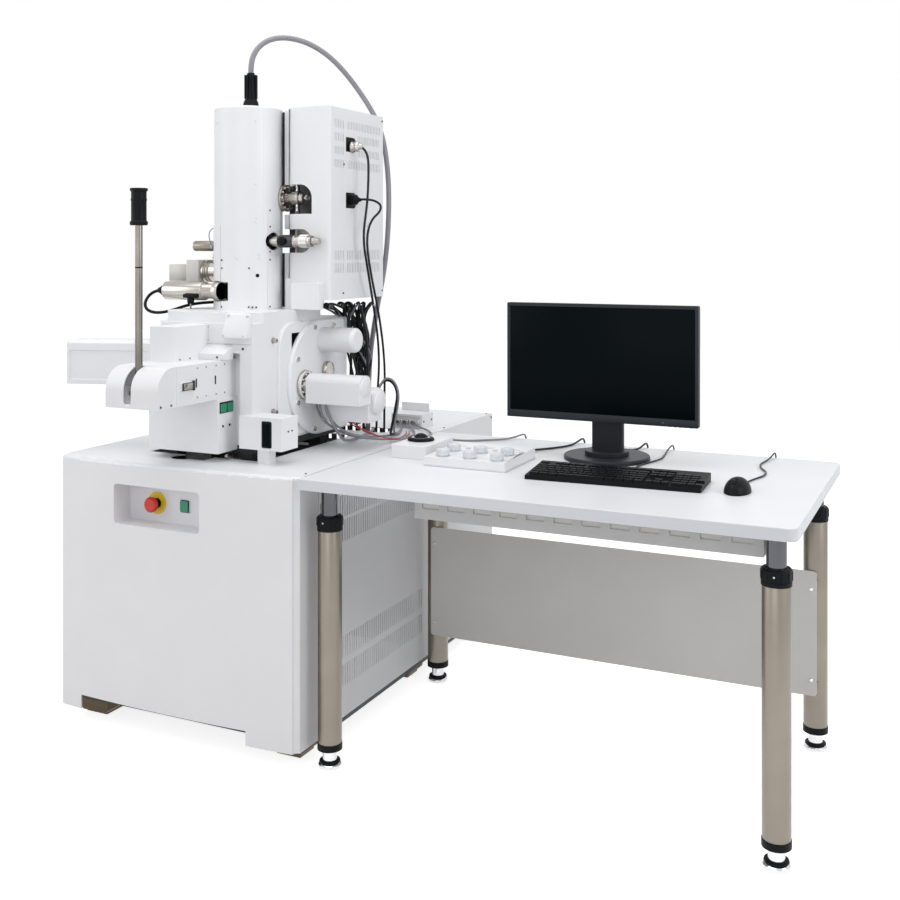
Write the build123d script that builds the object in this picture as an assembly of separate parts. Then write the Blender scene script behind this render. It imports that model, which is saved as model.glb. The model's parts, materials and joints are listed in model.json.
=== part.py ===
from build123d import *
from math import cos, pi, radians, sin, tan
import os

# Scanning electron microscope with its operator desk. Millimetres, +Z up.
# While modelling, x = 0 is the console's left side, y = 0 its front, z = 0 the floor.

# Console
console_w = 782
console_d = 1246
console_top = 733
cover_bottom = 54
sheet = 2
moulding = 4
seam = 2
front_bulge = 14
front_return = 100
front_edge_r = 9
front_lip = 40
frame_tube = 40
frame_bottom = 40

# Recess in the front cover with its switch panel
recess_x = 205
recess_w = 286
recess_z = 566
recess_h = 107
recess_depth = 55
panel_t = 3
estop_x = 300
estop_z = 616
estop_head_r = 20
estop_stem_r = 10
estop_stand = 35
estop_disc_r = 30
switch_x = 394
switch_w = 26
switch_h = 30
switch_proud = 5
button_gap = 0.3

# Column and chamber
column_x = 378
column_y = 367
column_cover_r = 99
column_base = 1132
column_top = 1716
column_r = 78
chamber_x0 = 208
chamber_x1 = 548
chamber_y0 = 142
chamber_y1 = 595
chamber_z0 = 768
chamber_z1 = 1103
chamber_wall = 40
boss_t = 10
door_t = 12
door_y = 461
door_z = 932
door_r = 168
stage_z = 917

# Exchange airlock on the chamber's front
airlock_x0 = 308
airlock_x1 = 475
airlock_z0 = 903
airlock_z1 = 1006
airlock_front = -96
guard_front = -157
guard_r = 61
guard_t = 3
front_recess = 28
rod_y = -112
rod_z = 935
rod_r = 9.6
rod_len = 526
rod_handle_len = 95
rod_handle_r = 21
rod_pin_r = 6
pin_fit = 0.3
slot_gap = 2.4

# Pump cover beside the column
pump_x0 = 496
pump_x1 = 651
pump_y0 = 375
pump_y1 = 690
pump_z0 = 1160

# Desk
desk_gap = 3
desk_w = 1200
desk_d = 804
desk_t = 28
leg_side = 52
leg_front = 67
leg_rear = 108
leg_r = 30.5
leg_bottom = 47
leg_top = 598
post_r = 21.5
post_fit = 0.3
collar_h = 36
collar_r = 33
tray_w = 850
tray_d = 100
tray_h = 62

# Monitor
monitor_x = 1400
monitor_y = 522
monitor_z = 842
monitor_w = 532
monitor_h = 316
monitor_t = 42
monitor_base_r = 117
monitor_base_t = 12
tilt_pin_r = 4
swivel_gap = 0.3

# Knobs of the operation panel
knob_r = 18
knob_h = 22
knob_xs = (1034, 1112, 1190)
knob_ys = (316, 387)

desk_x0 = console_w + desk_gap
desk_x1 = desk_x0 + desk_w
desk_z = console_top
airlock_y1 = chamber_y0 + front_recess
boss_x = chamber_x1 + boss_t
door_x = boss_x + door_t

pieces = {}


def keep(name, *solids):
    """Files the solids under their node's name."""
    pieces[name] = list(solids)


def block(x0, x1, y0, y1, z0, z1):
    """Box between two corners."""
    size = Box(x1 - x0, y1 - y0, z1 - z0)
    return Pos((x0 + x1) / 2, (y0 + y1) / 2, (z0 + z1) / 2) * size


def bar(start, end, radius, end_radius=None):
    """Round bar or cone from one point to another."""
    start, end = Vector(*start), Vector(*end)
    run = end - start
    place = Plane(origin=start, z_dir=run)
    low = (Align.CENTER, Align.CENTER, Align.MIN)
    if end_radius is None:
        return place * Cylinder(radius, run.length, align=low)
    return place * Cone(radius, end_radius, run.length, align=low)


def rounded(solid, axis, radius):
    """Rounds the edges of a block that run along one axis."""
    return fillet(solid.edges().filter_by(axis), radius)


def lead(points, diameter):
    """Round lead along straight runs with the largest tangent arcs; gives the tube and its radii."""
    points = [Vector(*p) for p in points]
    radii = []
    for a, b, c in zip(points, points[1:], points[2:]):
        turn = radians((b - a).get_angle(c - b))
        radii.append(0.45 * min((b - a).length, (c - b).length) / tan(turn / 2))
    path = FilletPolyline(*points, radius=radii)
    section = Plane(origin=points[0], z_dir=points[1] - points[0]) * Circle(diameter / 2)
    return sweep(section, path=path), path.length, radii


def cord(name, points, diameter):
    """Keeps a cord's tube and prints its length, volume and radii."""
    tube, length, radii = lead(points, diameter)
    keep(name, tube)
    ideal = pi * diameter ** 2 / 4 * length
    ratio = tube.volume / ideal
    print(name, "length", round(length), "volume ratio", round(ratio, 4), "radii", [round(r) for r in radii])


# Frame, covers and feet of the console

def tube_x(x0, x1, y, z):
    return block(x0, x1, y, y + frame_tube, z, z + frame_tube)


def tube_y(x, y0, y1, z):
    return block(x, x + frame_tube, y0, y1, z, z + frame_tube)


def post(x, y, z0, z1):
    return block(x, x + frame_tube, y, y + frame_tube, z0, z1)


frame_x0 = sheet
frame_x1 = console_w - sheet
frame_y0 = recess_depth + panel_t + seam
frame_y1 = console_d - sheet
frame_top = console_top - sheet
isolator_xs = (250, 505)
isolator_ys = (195, 545)
isolator = 40
plate_z0 = chamber_z0 - 20
beam_z = 672
middle_post_y = 685


def base_frame():
    bottoms = (frame_bottom, frame_top - frame_tube)
    frame = None
    for z in bottoms:
        for y in (frame_y0, frame_y1 - frame_tube):
            piece = tube_x(frame_x0, frame_x1, y, z)
            frame = piece if frame is None else frame + piece
        for x in (frame_x0, frame_x1 - frame_tube):
            frame += tube_y(x, frame_y0, frame_y1, z)
    for x in (frame_x0, frame_x1 - frame_tube):
        for y in (frame_y0, middle_post_y, frame_y1 - frame_tube):
            frame += post(x, y, frame_bottom, frame_top)
    for y in isolator_ys:
        frame += tube_x(frame_x0, frame_x1, y - frame_tube / 2, beam_z)
    return frame


def front_outline(inset):
    """Plan of the front cover: bowed front, rounded corners, straight returns."""
    x0, x1 = inset, console_w - inset
    y0 = inset
    r = 14 - inset
    with BuildSketch() as plan:
        with BuildLine():
            Line((x0, front_return), (x0, y0 + r))
            RadiusArc((x0, y0 + r), (x0 + r, y0), r)
            ThreePointArc((x0 + r, y0), (console_w / 2, y0 - front_bulge), (x1 - r, y0))
            RadiusArc((x1 - r, y0), (x1, y0 + r), r)
            Line((x1, y0 + r), (x1, front_return))
            Line((x1, front_return), (x0, front_return))
        make_face()
    return plan.sketch


foot_notch_x0 = 85
foot_notch_x1 = 633
foot_notch_z = 80


def front_cover():
    height = console_top - cover_bottom + 12
    low = cover_bottom - 12
    outer = Pos(0, 0, low) * extrude(front_outline(0), height)
    rim = outer.faces().sort_by(Axis.Z)[-1].edges()
    bow = [e for e in rim if e.center().Y < front_return - 30]
    outer = fillet(bow, front_edge_r)
    inner = Pos(0, 0, low - 1) * extrude(front_outline(moulding), height + 1 - moulding)
    shell = outer - inner
    shell -= block(moulding, console_w - moulding, front_lip, front_return + 1, console_top - 30, console_top + 1)
    shell -= block(-1, console_w + 1, front_lip, front_return + 1, console_top - sheet, console_top + 1)
    shell -= block(sheet, console_w - sheet, frame_y0, front_return + 1, 0, console_top + 1)
    shell -= block(foot_notch_x0, foot_notch_x1, -50, 40, 0, foot_notch_z)
    x1, z1 = recess_x + recess_w, recess_z + recess_h
    opening = block(recess_x, x1, -60, recess_depth + 1, recess_z, z1)
    opening = rounded(opening, Axis.Y, 10)
    sleeve = block(recess_x - moulding, x1 + moulding, -60, recess_depth, recess_z - moulding, z1 + moulding)
    sleeve = rounded(sleeve, Axis.Y, 14)
    return shell + (sleeve & outer) - opening


louvres = 48
louvre_pitch = 12.4
louvre_w = 4
louvre_h = 58
louvre_y = 110
louvre_zs = (590, 523, 213, 136)


def side_cover(x, louvred):
    """Flat side cover of sheet metal with a folded lip along its bottom."""
    y0 = front_return + seam
    cover = block(x, x + sheet, y0, console_d, cover_bottom, console_top - sheet)
    if not louvred:
        return cover
    slots = []
    for z in louvre_zs:
        for i in range(louvres):
            y = louvre_y + i * louvre_pitch
            slots.append(block(x - 1, x + sheet + 1, y, y + louvre_w, z, z + louvre_h))
    return cover - slots


def rear_cover():
    cover = block(sheet, console_w - sheet, frame_y1, console_d, cover_bottom, console_top - sheet)
    for z in (160, 600):
        for i in range(16):
            x = 120 + i * 34
            cover -= block(x, x + 12, frame_y1 - 1, console_d + 1, z, z + 60)
    return cover


well_x0 = 196
well_x1 = 572
well_y0 = 150
well_y1 = 640
duct_x0 = 430
duct_x1 = 640
duct_y0 = 715
duct_y1 = 800


def top_cover():
    z0 = console_top - sheet
    cover = block(0, console_w, front_lip + seam / 2, console_d, z0, console_top)
    cover -= block(well_x0, well_x1, well_y0, well_y1, z0 - 1, console_top + 1)
    notch = Pos(340, 120, console_top) * Cylinder(36, 10)
    cover -= notch + block(340, 420, 100, 160, z0 - 1, console_top + 1)
    duct = block(duct_x0, duct_x1, duct_y0, duct_y1, z0 - 1, console_top + 1)
    return cover - rounded(duct, Axis.Z, 12)


def switch_panel():
    y0 = recess_depth
    margin = 12
    plate = block(recess_x - margin, recess_x + recess_w + margin, y0, y0 + panel_t,
                  recess_z - margin, recess_z + recess_h + margin)
    plate -= bar((estop_x, y0 - 1, estop_z), (estop_x, y0 + panel_t + 1, estop_z), estop_stem_r + button_gap)
    w, h = switch_w / 2 + button_gap, switch_h / 2 + button_gap
    plate -= block(switch_x - w, switch_x + w, y0 - 1, y0 + panel_t + 1, estop_z - h, estop_z + h)
    disc = bar((estop_x, y0 - 1.5, estop_z), (estop_x, y0, estop_z), estop_disc_r)
    disc -= bar((estop_x, y0 - 3, estop_z), (estop_x, y0 + 1, estop_z), estop_stem_r + button_gap)
    bezel = block(switch_x - w - 3, switch_x + w + 3, y0 - 3, y0, estop_z - h - 3, estop_z + h + 3)
    bezel -= block(switch_x - w, switch_x + w, y0 - 4, y0 + 1, estop_z - h, estop_z + h)
    return [plate, disc, bezel]


def estop_button():
    y0 = recess_depth - estop_stand
    head = bar((estop_x, y0, estop_z), (estop_x, y0 + 13, estop_z), estop_head_r)
    head = chamfer(head.faces().sort_by(Axis.Y)[0].edges(), 4)
    head += bar((estop_x, y0 + 13, estop_z), (estop_x, y0 + 20, estop_z), 14)
    return head + bar((estop_x, y0 + 13, estop_z), (estop_x, recess_depth + 22, estop_z), estop_stem_r)


def main_switch():
    w, h, y0 = switch_w / 2, switch_h / 2, recess_depth
    button = block(switch_x - w, switch_x + w, y0 - switch_proud - 3, y0 + 10, estop_z - h, estop_z + h)
    return rounded(button, Axis.Y, 5)


foot_xs = (24, console_w - 24 - 96)
foot_ys = (frame_y0, middle_post_y - 25, frame_y1 - 90)
foot_w = 96
foot_d = 90
foot_pad = 8


def console_feet():
    feet = []
    for x in foot_xs:
        for y in foot_ys:
            foot = block(x, x + foot_w, y, y + foot_d, foot_pad, frame_bottom)
            foot = chamfer(foot.edges().filter_by(Axis.Y).sort_by(Axis.Z)[:2], 8)
            pad = block(x + 12, x + foot_w - 12, y + 12, y + foot_d - 12, 0, foot_pad)
            feet.append(foot + pad)
    return feet


def electronics_rack():
    """Power supplies and controllers, stacked on the frame's bottom rails."""
    x0, x1 = frame_x0 + frame_tube + 20, frame_x1 - frame_tube - 20
    y0, y1 = middle_post_y + frame_tube, frame_y1 - frame_tube
    z0 = frame_bottom + frame_tube
    rack = block(frame_x0, frame_x1, y0, y1, z0, z0 + 4)
    for i in range(3):
        z = z0 + 4 + i * 140
        rack += block(x0, x1, y0 + 10, y1 - 10, z, z + 140)
        rack -= block(x0 - 1, x1 + 1, y0 + 9, y0 + 14, z + 130, z + 136)
    return rack


def turbo_pump():
    """Turbomolecular pump hanging under the chamber's floor."""
    x, y = column_x, column_y
    pump = bar((x, y, 520), (x, y, 700), 70)
    pump += bar((x, y, 700), (x, y, chamber_z0 - 14), 62)
    pump += bar((x, y, chamber_z0 - 14), (x, y, chamber_z0), 78)
    pump += bar((x, y, 500), (x, y, 520), 46)
    for z in (560, 600, 640):
        pump -= bar((x, y, z), (x, y, z + 8), 90) - bar((x, y, z), (x, y, z + 8), 60)
    return pump


def isolation_plate():
    plate = block(215, chamber_x1 - seam, 172, 592, plate_z0, chamber_z0)
    plate -= bar((column_x, column_y, plate_z0 - 1), (column_x, column_y, chamber_z0 + 1), 90)
    solids = [plate]
    for x in isolator_xs:
        for y in isolator_ys:
            z0 = beam_z + frame_tube
            mount = block(x - isolator / 2, x + isolator / 2, y - isolator / 2, y + isolator / 2, z0, plate_z0)
            solids.append(mount)
    return solids


# Chamber, column and what they carry

def chamber():
    body = block(chamber_x0, chamber_x1, chamber_y0, chamber_y1, chamber_z0, chamber_z1)
    corner = body.edges().filter_by(Axis.Z).sort_by(Axis.X)[:2]
    body = chamfer(corner, 36)
    boss = block(chamber_x1, boss_x, 258, chamber_y1, 774, 1098)
    boss = fillet(boss.edges().filter_by(Axis.X).sort_by(Axis.Y)[:2], 74)
    body += chamfer(boss.faces().sort_by(Axis.X)[-1].edges().sort_by(Axis.Y)[:-1], 3)
    wall = chamber_wall
    body -= block(chamber_x0 + wall, boss_x + 1, 320, chamber_y1 - wall, chamber_z0 + 34, chamber_z1 - 36)
    body -= block(290, 508, chamber_y0 - 1, airlock_y1, chamber_z0 - 1, 1022)
    plate = block(chamber_x0 + 10, chamber_x1, chamber_y0 + 6, 540, chamber_z1, column_base)
    plate = chamfer(plate.edges().filter_by(Axis.Z), 50)
    body += plate
    body -= bar((column_x, column_y, chamber_z1 - 60), (column_x, column_y, column_base + 1), 60)
    return body


def electron_column():
    """Objective lens, condenser and gun, one stack on the chamber's lid."""
    x, y, z = column_x, column_y, column_base
    stack = bar((x, y, z - 100), (x, y, z - 40), 22, 60)
    stack += bar((x, y, z - 40), (x, y, z), 60)
    stack += bar((x, y, z), (x, y, z + 150), column_r)
    stack += bar((x, y, z + 150), (x, y, z + 330), 56)
    stack += bar((x, y, z + 330), (x, y, z + 350), column_r)
    stack += bar((x, y, z + 350), (x, y, column_top - 5), 66)
    return stack


valve_z_high = 1455
valve_z_low = 1328


def around(angle, radius):
    """Point at an angle from the column's front."""
    return (column_x + radius * sin(radians(angle)), column_y - radius * cos(radians(angle)))


def bent_sheet(a0, a1, z0, z1, thick):
    """Sheet on the column cover, bent round it between two angles."""
    low, high, middle = column_cover_r - 1, column_cover_r + thick, (a0 + a1) / 2
    outline = [
        ThreePointArc(around(a0, high), around(middle, high), around(a1, high)),
        Line(around(a1, high), around(a1, low)),
        ThreePointArc(around(a1, low), around(middle, low), around(a0, low)),
        Line(around(a0, low), around(a0, high)),
    ]
    return Pos(0, 0, z0) * extrude(make_face(outline), z1 - z0)


sheet_lift = 2.2
strip_breaks = (column_base, 1287, 1356, 1421)


def column_cover():
    x, y = column_x, column_y
    outer = bar((x, y, column_base), (x, y, column_top), column_cover_r)
    outer = chamfer(outer.faces().sort_by(Axis.Z)[-1].edges(), 4)
    outer += bent_sheet(-64, -18, column_base, 1375, sheet_lift)
    outer += bent_sheet(-15.4, 38.5, column_base, 1266.5, sheet_lift)
    for z0, z1 in zip(strip_breaks, strip_breaks[1:]):
        outer += bent_sheet(67.7, 97, z0 + seam / 2, z1 - seam / 2, sheet_lift)
    inner = bar((x, y, column_base - 1), (x, y, column_top - 3), column_cover_r - 4)
    cover = outer - inner
    cover -= bar((x, side_y, side_z), (x - 120, side_y, side_z), side_r + cover_gap)
    cover -= bar((x, y, drive_z), (x - 120, y, drive_z), drive_r + cover_gap)
    cover -= bar((x, y, gauge_z), (x - 120, y, gauge_z), gauge_r + cover_gap)
    cover -= bar((x, 410, valve_z_high), (x + 140, 410, valve_z_high), 40)
    cover -= bar((x, 350, valve_z_low), (x + 140, 350, valve_z_low), 26)
    return cover


slit_pitch = 9.5
slit_w = 2.6
slit_rows_high = ((1655, 1679, 476), (1617, 1641, 534), (1579, 1602, 534), (1540, 1564, 476))
slit_rows_low = ((1274, 1302, 472), (1236, 1265, 472))
slit_fields = [(402, 459, z0, z1) for z0, z1, y0 in slit_rows_high + slit_rows_low]
slit_fields += [(y0, 676, z0, z1) for z0, z1, y0 in slit_rows_high + slit_rows_low]
socket_y0 = 464
socket_y1 = 522
socket_zs = ((1590, 1633), (1425, 1471))


def pump_cover():
    """Housing round the ion pumps, open where the pumping ports come out."""
    top = column_top - 2
    outer = block(pump_x0, pump_x1, pump_y0, pump_y1, pump_z0, top)
    uprights = outer.edges().filter_by(Axis.Z).sort_by(Axis.Y)
    front = uprights[:2].sort_by(Axis.X)
    outer = fillet(front[0], 34)
    front = outer.edges().filter_by(Axis.Z).sort_by(Axis.Y)
    sharp = [e for e in front if abs(e.center().X - pump_x1) < 1 and abs(e.center().Y - pump_y0) < 1]
    outer = fillet(sharp, 10)
    t = 3
    inner = block(pump_x0 + t, pump_x1 - t, pump_y0 + t, pump_y1 - t, pump_z0 - 1, top - t)
    inner = fillet([e for e in inner.edges().filter_by(Axis.Z) if e.center().Y < pump_y0 + 9], 7)
    cover = outer - inner
    high = block(pump_x0 - 1, 590, pump_y0 - 1, pump_y0 + 60, 1407, 1492)
    corner = high.edges().filter_by(Axis.Y).sort_by(Axis.X)[-2:].sort_by(Axis.Z)[-1]
    high = fillet(corner, 40)
    low = block(pump_x0 - 1, 588, pump_y0 - 1, pump_y0 + 60, 1295, 1363)
    low = fillet(low.edges().filter_by(Axis.Y).sort_by(Axis.X)[-2:], 33)
    cover -= high + low
    slots = []
    for y0, y1, z0, z1 in slit_fields:
        for i in range(int((y1 - y0) / slit_pitch)):
            y = y0 + i * slit_pitch
            slots.append(block(pump_x1 - t - 1, pump_x1 + 1, y, y + slit_w, z0, z1))
    for z0, z1 in socket_zs:
        socket = block(pump_x1 - t - 1, pump_x1 + 1, socket_y0, socket_y1, z0, z1)
        slots.append(fillet(socket.edges().filter_by(Axis.X).sort_by(Axis.Y)[-2:], 14))
    cover -= slots
    cover += rounded(block(534, 628, 352, pump_y0 + 1, column_base + 1, 1208), Axis.Z, 2)
    post_x0, post_x1 = pump_x0 + t, 541
    stand = block(post_x0, post_x1, pump_y0 + t, 520, column_base, pump_z0 + 60)
    return [cover, stand]


def ion_pumps():
    """Two ion getter pumps on the stand, with their ports from the column."""
    x0, x1, y0, y1 = 500, 640, 440, 680
    solids = block(x0, x1, y0, y1, 1225, 1390) + block(x0, x1, y0, y1, 1510, 1690)
    solids += block(x0 + 40, x1 - 40, y0 + 40, y1 - 40, 1390, 1510)
    solids += block(500, 541, 440, 520, 1220, 1225)
    port = bar((column_x + 66, 410, valve_z_high), (530, 410, valve_z_high), 17)
    port += bar((column_x + 86, 410, valve_z_high), (column_x + 98, 410, valve_z_high), 36)
    port += block(505, 525, 410, 445, valve_z_high - 12, valve_z_high + 12)
    port -= bar((column_x, column_y, valve_z_high - 50), (column_x, column_y, valve_z_high + 50), column_r + 0.2)
    low = bar((column_x + 50, 350, valve_z_low), (608, 350, valve_z_low), 15.5)
    low += bar((608, 350, valve_z_low), (630, 350, valve_z_low), 9)
    low += block(535, 552, 350, 445, valve_z_low - 9, valve_z_low + 9)
    low -= bar((column_x, column_y, valve_z_low - 50), (column_x, column_y, valve_z_low + 50), 56.2)
    return solids + port + low


def valve_knobs():
    high = bar((530.3, 410, valve_z_high), (546, 410, valve_z_high), 17.5)
    high += bar((546, 410, valve_z_high), (556, 410, valve_z_high), 7)
    low = bar((520, 350 - 15.8, valve_z_low), (520, 350 - 30, valve_z_low), 13)
    return high, low


gland_x = 386


def hv_gland():
    z = column_top
    gland = bar((gland_x, column_y, z), (gland_x, column_y, z + 12), 32)
    gland += bar((gland_x, column_y, z + 12), (gland_x, column_y, z + 30), 26)
    return gland + bar((gland_x, column_y, z + 30), (gland_x, column_y, z + 106), 19, 12)


hv_d = 16
hv_route = [
    (gland_x, column_y, column_top + 106), (gland_x, column_y, 1850), (392, 375, 1882.5), (405, 392.5, 1910),
    (426, 420, 1930), (456, 459, 1937), (496, 512, 1926), (540, 575, 1886), (585, 645, 1805), (632, 712, 1690),
    (652, 724, 1550), (655, 722, 1400), (640, 724, 1250), (600, 740, 1110), (570, 755, 980), (560, 760, 850),
    (558, 760, 715),
]


def stage_door():
    """D-shaped door with the specimen stage on its inside."""
    x0, x1 = boss_x, door_x
    disc = bar((x0, door_y, door_z), (x1, door_y, door_z), door_r)
    door_y1 = chamber_y1 + 12
    door = disc + block(x0, x1, door_y, door_y1, door_z - door_r, door_z + door_r)
    door -= block(x0 - 1, x1 + 1, door_y1, door_y1 + 100, 600, 1200)
    edge = [e for e in door.faces().sort_by(Axis.X)[-1].edges() if e.center().Y < door_y + 100]
    door = chamfer(edge, 5)
    bolts = [(329, 993), (329, 870), (418, 1079), (523, 1079), (418, 784), (523, 784)]
    for y, z in bolts:
        door += bar((x1, y, z), (x1 + 5, y, z), 7)
    arm = bar((x0 - 150, column_y + 2, stage_z), (x0, column_y + 2, stage_z), 24)
    base = block(column_x - 75, x0 - 100, column_y - 40, column_y + 75, stage_z - 60, stage_z - 20)
    holder = bar((column_x, column_y, stage_z - 20), (column_x, column_y, stage_z + 60), 26)
    return [door + arm + base + holder]


def stage_drives():
    """Motor housings of the stage, on the outside of the door."""
    y, z, x = column_y + 1, stage_z, door_x
    flange = bar((x, y, z), (x + 14, y, z), 40) + bar((x + 14, y, z), (x + 24, y, z), 24)
    main = block(x + 24, x + 200, y - 32, y + 32, z - 48, z + 34)
    main = fillet(main.edges().filter_by(Axis.X).sort_by(Axis.Z)[-2:], 24)
    lower = block(x + 38, x + 190, y + 36, y + 112, z - 104, z - 8)
    lower = fillet(lower.edges().filter_by(Axis.X).sort_by(Axis.Z)[-2:], 22)
    lower += bar((x + 190, y + 74, z - 45), (x + 206, y + 74, z - 45), 35)
    lower += block(x, x + 38, y + 46, y + 90, z - 62, z - 20)
    link = block(x + 60, x + 180, y + 32, y + 36, z - 46, z - 12)
    upper = bar((x, 470, 1040), (x + 119, 470, 1040), 36)
    upper = fillet(upper.faces().sort_by(Axis.X)[-1].edges(), 12)
    cap = bar((x, y + 120, z + 30), (x + 12, y + 120, z + 30), 26)
    return [flange, main + link + lower, upper, cap]


def airlock_body():
    body = block(airlock_x0, airlock_x1, airlock_front, airlock_y1, airlock_z0, airlock_z1)
    body += block(316, 403, 4, chamber_y0, airlock_z1, 1099)
    body += block(airlock_x1, airlock_x1 + 8, -71, -16, 942, 963)
    for y0, y1 in ((-9, 70), (72, 158)):
        body += block(airlock_x1, airlock_x1 + 1.2, y0, y1, 915, airlock_z1 - 1)
    for x in (340, 404):
        body += block(x, x + 12, rod_y - 16, airlock_front, rod_z - 20, rod_z + 20)
        body -= bar((x - 1, rod_y, rod_z), (x + 13, rod_y, rod_z), rod_pin_r + pin_fit)
    return body


def rod_guard():
    """Quarter-round cover over the rod's pivot, slotted for its swing."""
    x0, x1, y0, y1 = airlock_x0, airlock_x1, guard_front, airlock_front
    outer = block(x0, x1, y0, y1, airlock_z0, airlock_z1)
    nose = outer.edges().filter_by(Axis.X).sort_by(Axis.Y)[:2].sort_by(Axis.Z)[-1]
    outer = fillet(nose, guard_r - 1)
    t = guard_t
    inner = block(x0 + t, x1 - t, y0 + t, y1 + 1, airlock_z0 - 1, airlock_z1 - t)
    nose = inner.edges().filter_by(Axis.X).sort_by(Axis.Y)[:2].sort_by(Axis.Z)[-1]
    inner = fillet(nose, guard_r - 1 - t)
    half = rod_r + slot_gap
    slot = block(column_x - half, column_x + half, y0 - 1, y1 + 1, rod_z - half, airlock_z1 + 1)
    slot += bar((column_x, y0 - 1, rod_z - half), (column_x, y0 + 20, rod_z - half), half)
    tip = block(column_x - 2, column_x + 2, y0 - 1, y0 + 20, rod_z - half - 10, rod_z)
    return outer - inner - slot - tip


def exchange_rod():
    """Specimen exchange rod, standing up at rest."""
    x, y, z = column_x, rod_y, rod_z
    grip = z + rod_len - rod_handle_len
    rod = bar((x, y, z), (x, y, grip), rod_r)
    rod += bar((x, y, z + 322), (x, y, z + 326), rod_r + 0.8)
    rod += bar((x, y, grip), (x, y, grip + 14), rod_handle_r + 2)
    rod += bar((x, y, grip + 14), (x, y, z + rod_len - 5), rod_handle_r)
    rod += bar((x, y, z + rod_len - 5), (x, y, z + rod_len), rod_handle_r, rod_handle_r + 2)
    rod += bar((x - 18, y, z), (x + 18, y, z), 13)
    return rod + bar((x - 38, y, z), (x + 38, y, z), rod_pin_r)


box_y0 = 82
box_z0 = 757
vent_ys = (104, 134)
vent_z = 878
vent_w = 26
vent_h = 24


def airlock_switch_box():
    x0, x1 = 247, airlock_x1 + 5
    body = block(x0, x1, box_y0, chamber_y0, box_z0, airlock_z0)
    body += block(airlock_x0, x1, chamber_y0, airlock_y1, box_z0, airlock_z0)
    depth = 14
    for y in vent_ys:
        w, h = vent_w / 2 + button_gap, vent_h / 2 + button_gap
        body -= block(x1 - depth, x1 + 1, y - w, y + w, vent_z - h, vent_z + h)
    for y in vent_ys:
        body -= bar((x1 - 4, y, 829), (x1 + 1, y, 829), 2.6)
    return body


def vent_button(y):
    x1 = airlock_x1 + 5
    button = block(x1 - 11, x1 + 4, y - vent_w / 2, y + vent_w / 2, vent_z - vent_h / 2, vent_z + vent_h / 2)
    return fillet(button.edges().filter_by(Axis.X).sort_by(Axis.Z)[:2], 6)


def detector_housing():
    """Long detector case pointing at the specimen from the front left."""
    length, depth, z0, z1 = 268, 84, 918, 1045
    place = Pos(-60, 85, 0) * Rot(0, 0, 17.5)
    case = block(0, length, 0, depth, z0, z1)
    top = case.edges().filter_by(Axis.Y).sort_by(Axis.X)[:2].sort_by(Axis.Z)[-1]
    case = fillet(top, 16)
    case = chamfer(case.edges().filter_by(Axis.X).sort_by(Axis.Y)[:2].sort_by(Axis.Z)[-1], 9)
    case -= block(14, length - 20, -1, 3, z0 + 14, z1 - 30)
    case += bar((length, 44, 980), (length + 60, 44, 980), 34)
    return place * case - block(chamber_x0, chamber_x1, chamber_y0, chamber_y1, chamber_z0, chamber_z1)


side_y = 280
side_z = 1184
side_r = 27
drive_z = 1240
drive_r = 32
gauge_z = 1315
gauge_r = 15
cover_gap = 3


def side_detector():
    x0, x1, x2 = 150, 288, 345
    body = bar((x0, side_y, side_z), (x1, side_y, side_z), side_r)
    body += bar((x1, side_y, side_z), (x2 - 14, side_y, side_z), side_r - 6)
    body += bar((x2 - 14, side_y, side_z), (x2, side_y, side_z), side_r)
    body -= bar((column_x, column_y, 1000), (column_x, column_y, 1300), column_r)
    gland = bar((x0, side_y, side_z), (x0 - 26, side_y, side_z), 15, 9)
    return [body, gland]


def side_fittings():
    """Aperture drive and gauge on the column's left, reaching through its cover."""
    body = block(180, 224, 330, 404, 1208, 1273) + block(113, 180, 334, 400, 1211, 1259)
    body += bar((224, column_y, drive_z), (318, column_y, drive_z), drive_r)
    gauge = bar((185, column_y, gauge_z), (318, column_y, gauge_z), gauge_r)
    stack = bar((column_x, column_y, 1100), (column_x, column_y, 1400), column_r)
    neck = bar((column_x, column_y, column_base + 150), (column_x, column_y, 1400), 56.2)
    body -= stack
    gauge += bar((300, column_y, gauge_z), (340, column_y, gauge_z), gauge_r)
    return [body, gauge - neck]


def scope_box():
    body = block(528, 664, 110, 188, 772, 859)
    body -= block(500, chamber_x1, chamber_y0, 200, 700, 900)
    window = block(600, 632, 100, 112, 778, 850)
    return body - rounded(window, Axis.Y, 6)


def connector_box():
    box = block(606, 716, 830, 910, console_top, console_top + 44)
    box -= block(614, 708, 826, 834, console_top + 8, console_top + 36)
    for i in range(3):
        x = 626 + i * 30
        box += block(x, x + 20, 826, 834, console_top + 14, console_top + 26)
    return box + block(600, 700, 914, 917, console_top, console_top + 70) + block(600, 700, 910, 914,
                                                                                console_top, console_top + 4)


side_hose = [
    (124, side_y, side_z), (104, side_y, side_z), (86, 268, 1172), (82, 252, 1148), (95, 246, 1126),
    (128, 254, 1117), (172, 268, 1124), (212, 286, 1140), (250, 306, 1148), (286, 324, 1150),
]
lead_a = [
    (651, 493, 1612), (672, 497, 1611), (688, 506, 1600), (696, 514, 1580), (698, 516, 1540), (696, 512, 1440),
    (686, 500, 1340), (682, 540, 1240), (672, 590, 1140), (655, 650, 1040), (630, 705, 940), (605, 735, 840),
    (600, 740, 715),
]
lead_b = [
    (651, 494, 1450), (680, 510, 1453), (700, 545, 1450), (708, 572, 1436), (706, 566, 1412), (700, 545, 1385),
    (700, 530, 1310), (700, 560, 1220), (690, 615, 1120), (672, 670, 1020), (650, 720, 920), (628, 750, 830),
    (622, 755, 715),
]
down_leads = ((560, 610, 8, 500, 9), (590, 585, -7, 520, 8), (618, 612, 6, 545, 9), (540, 640, -9, 475, 7))
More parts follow.
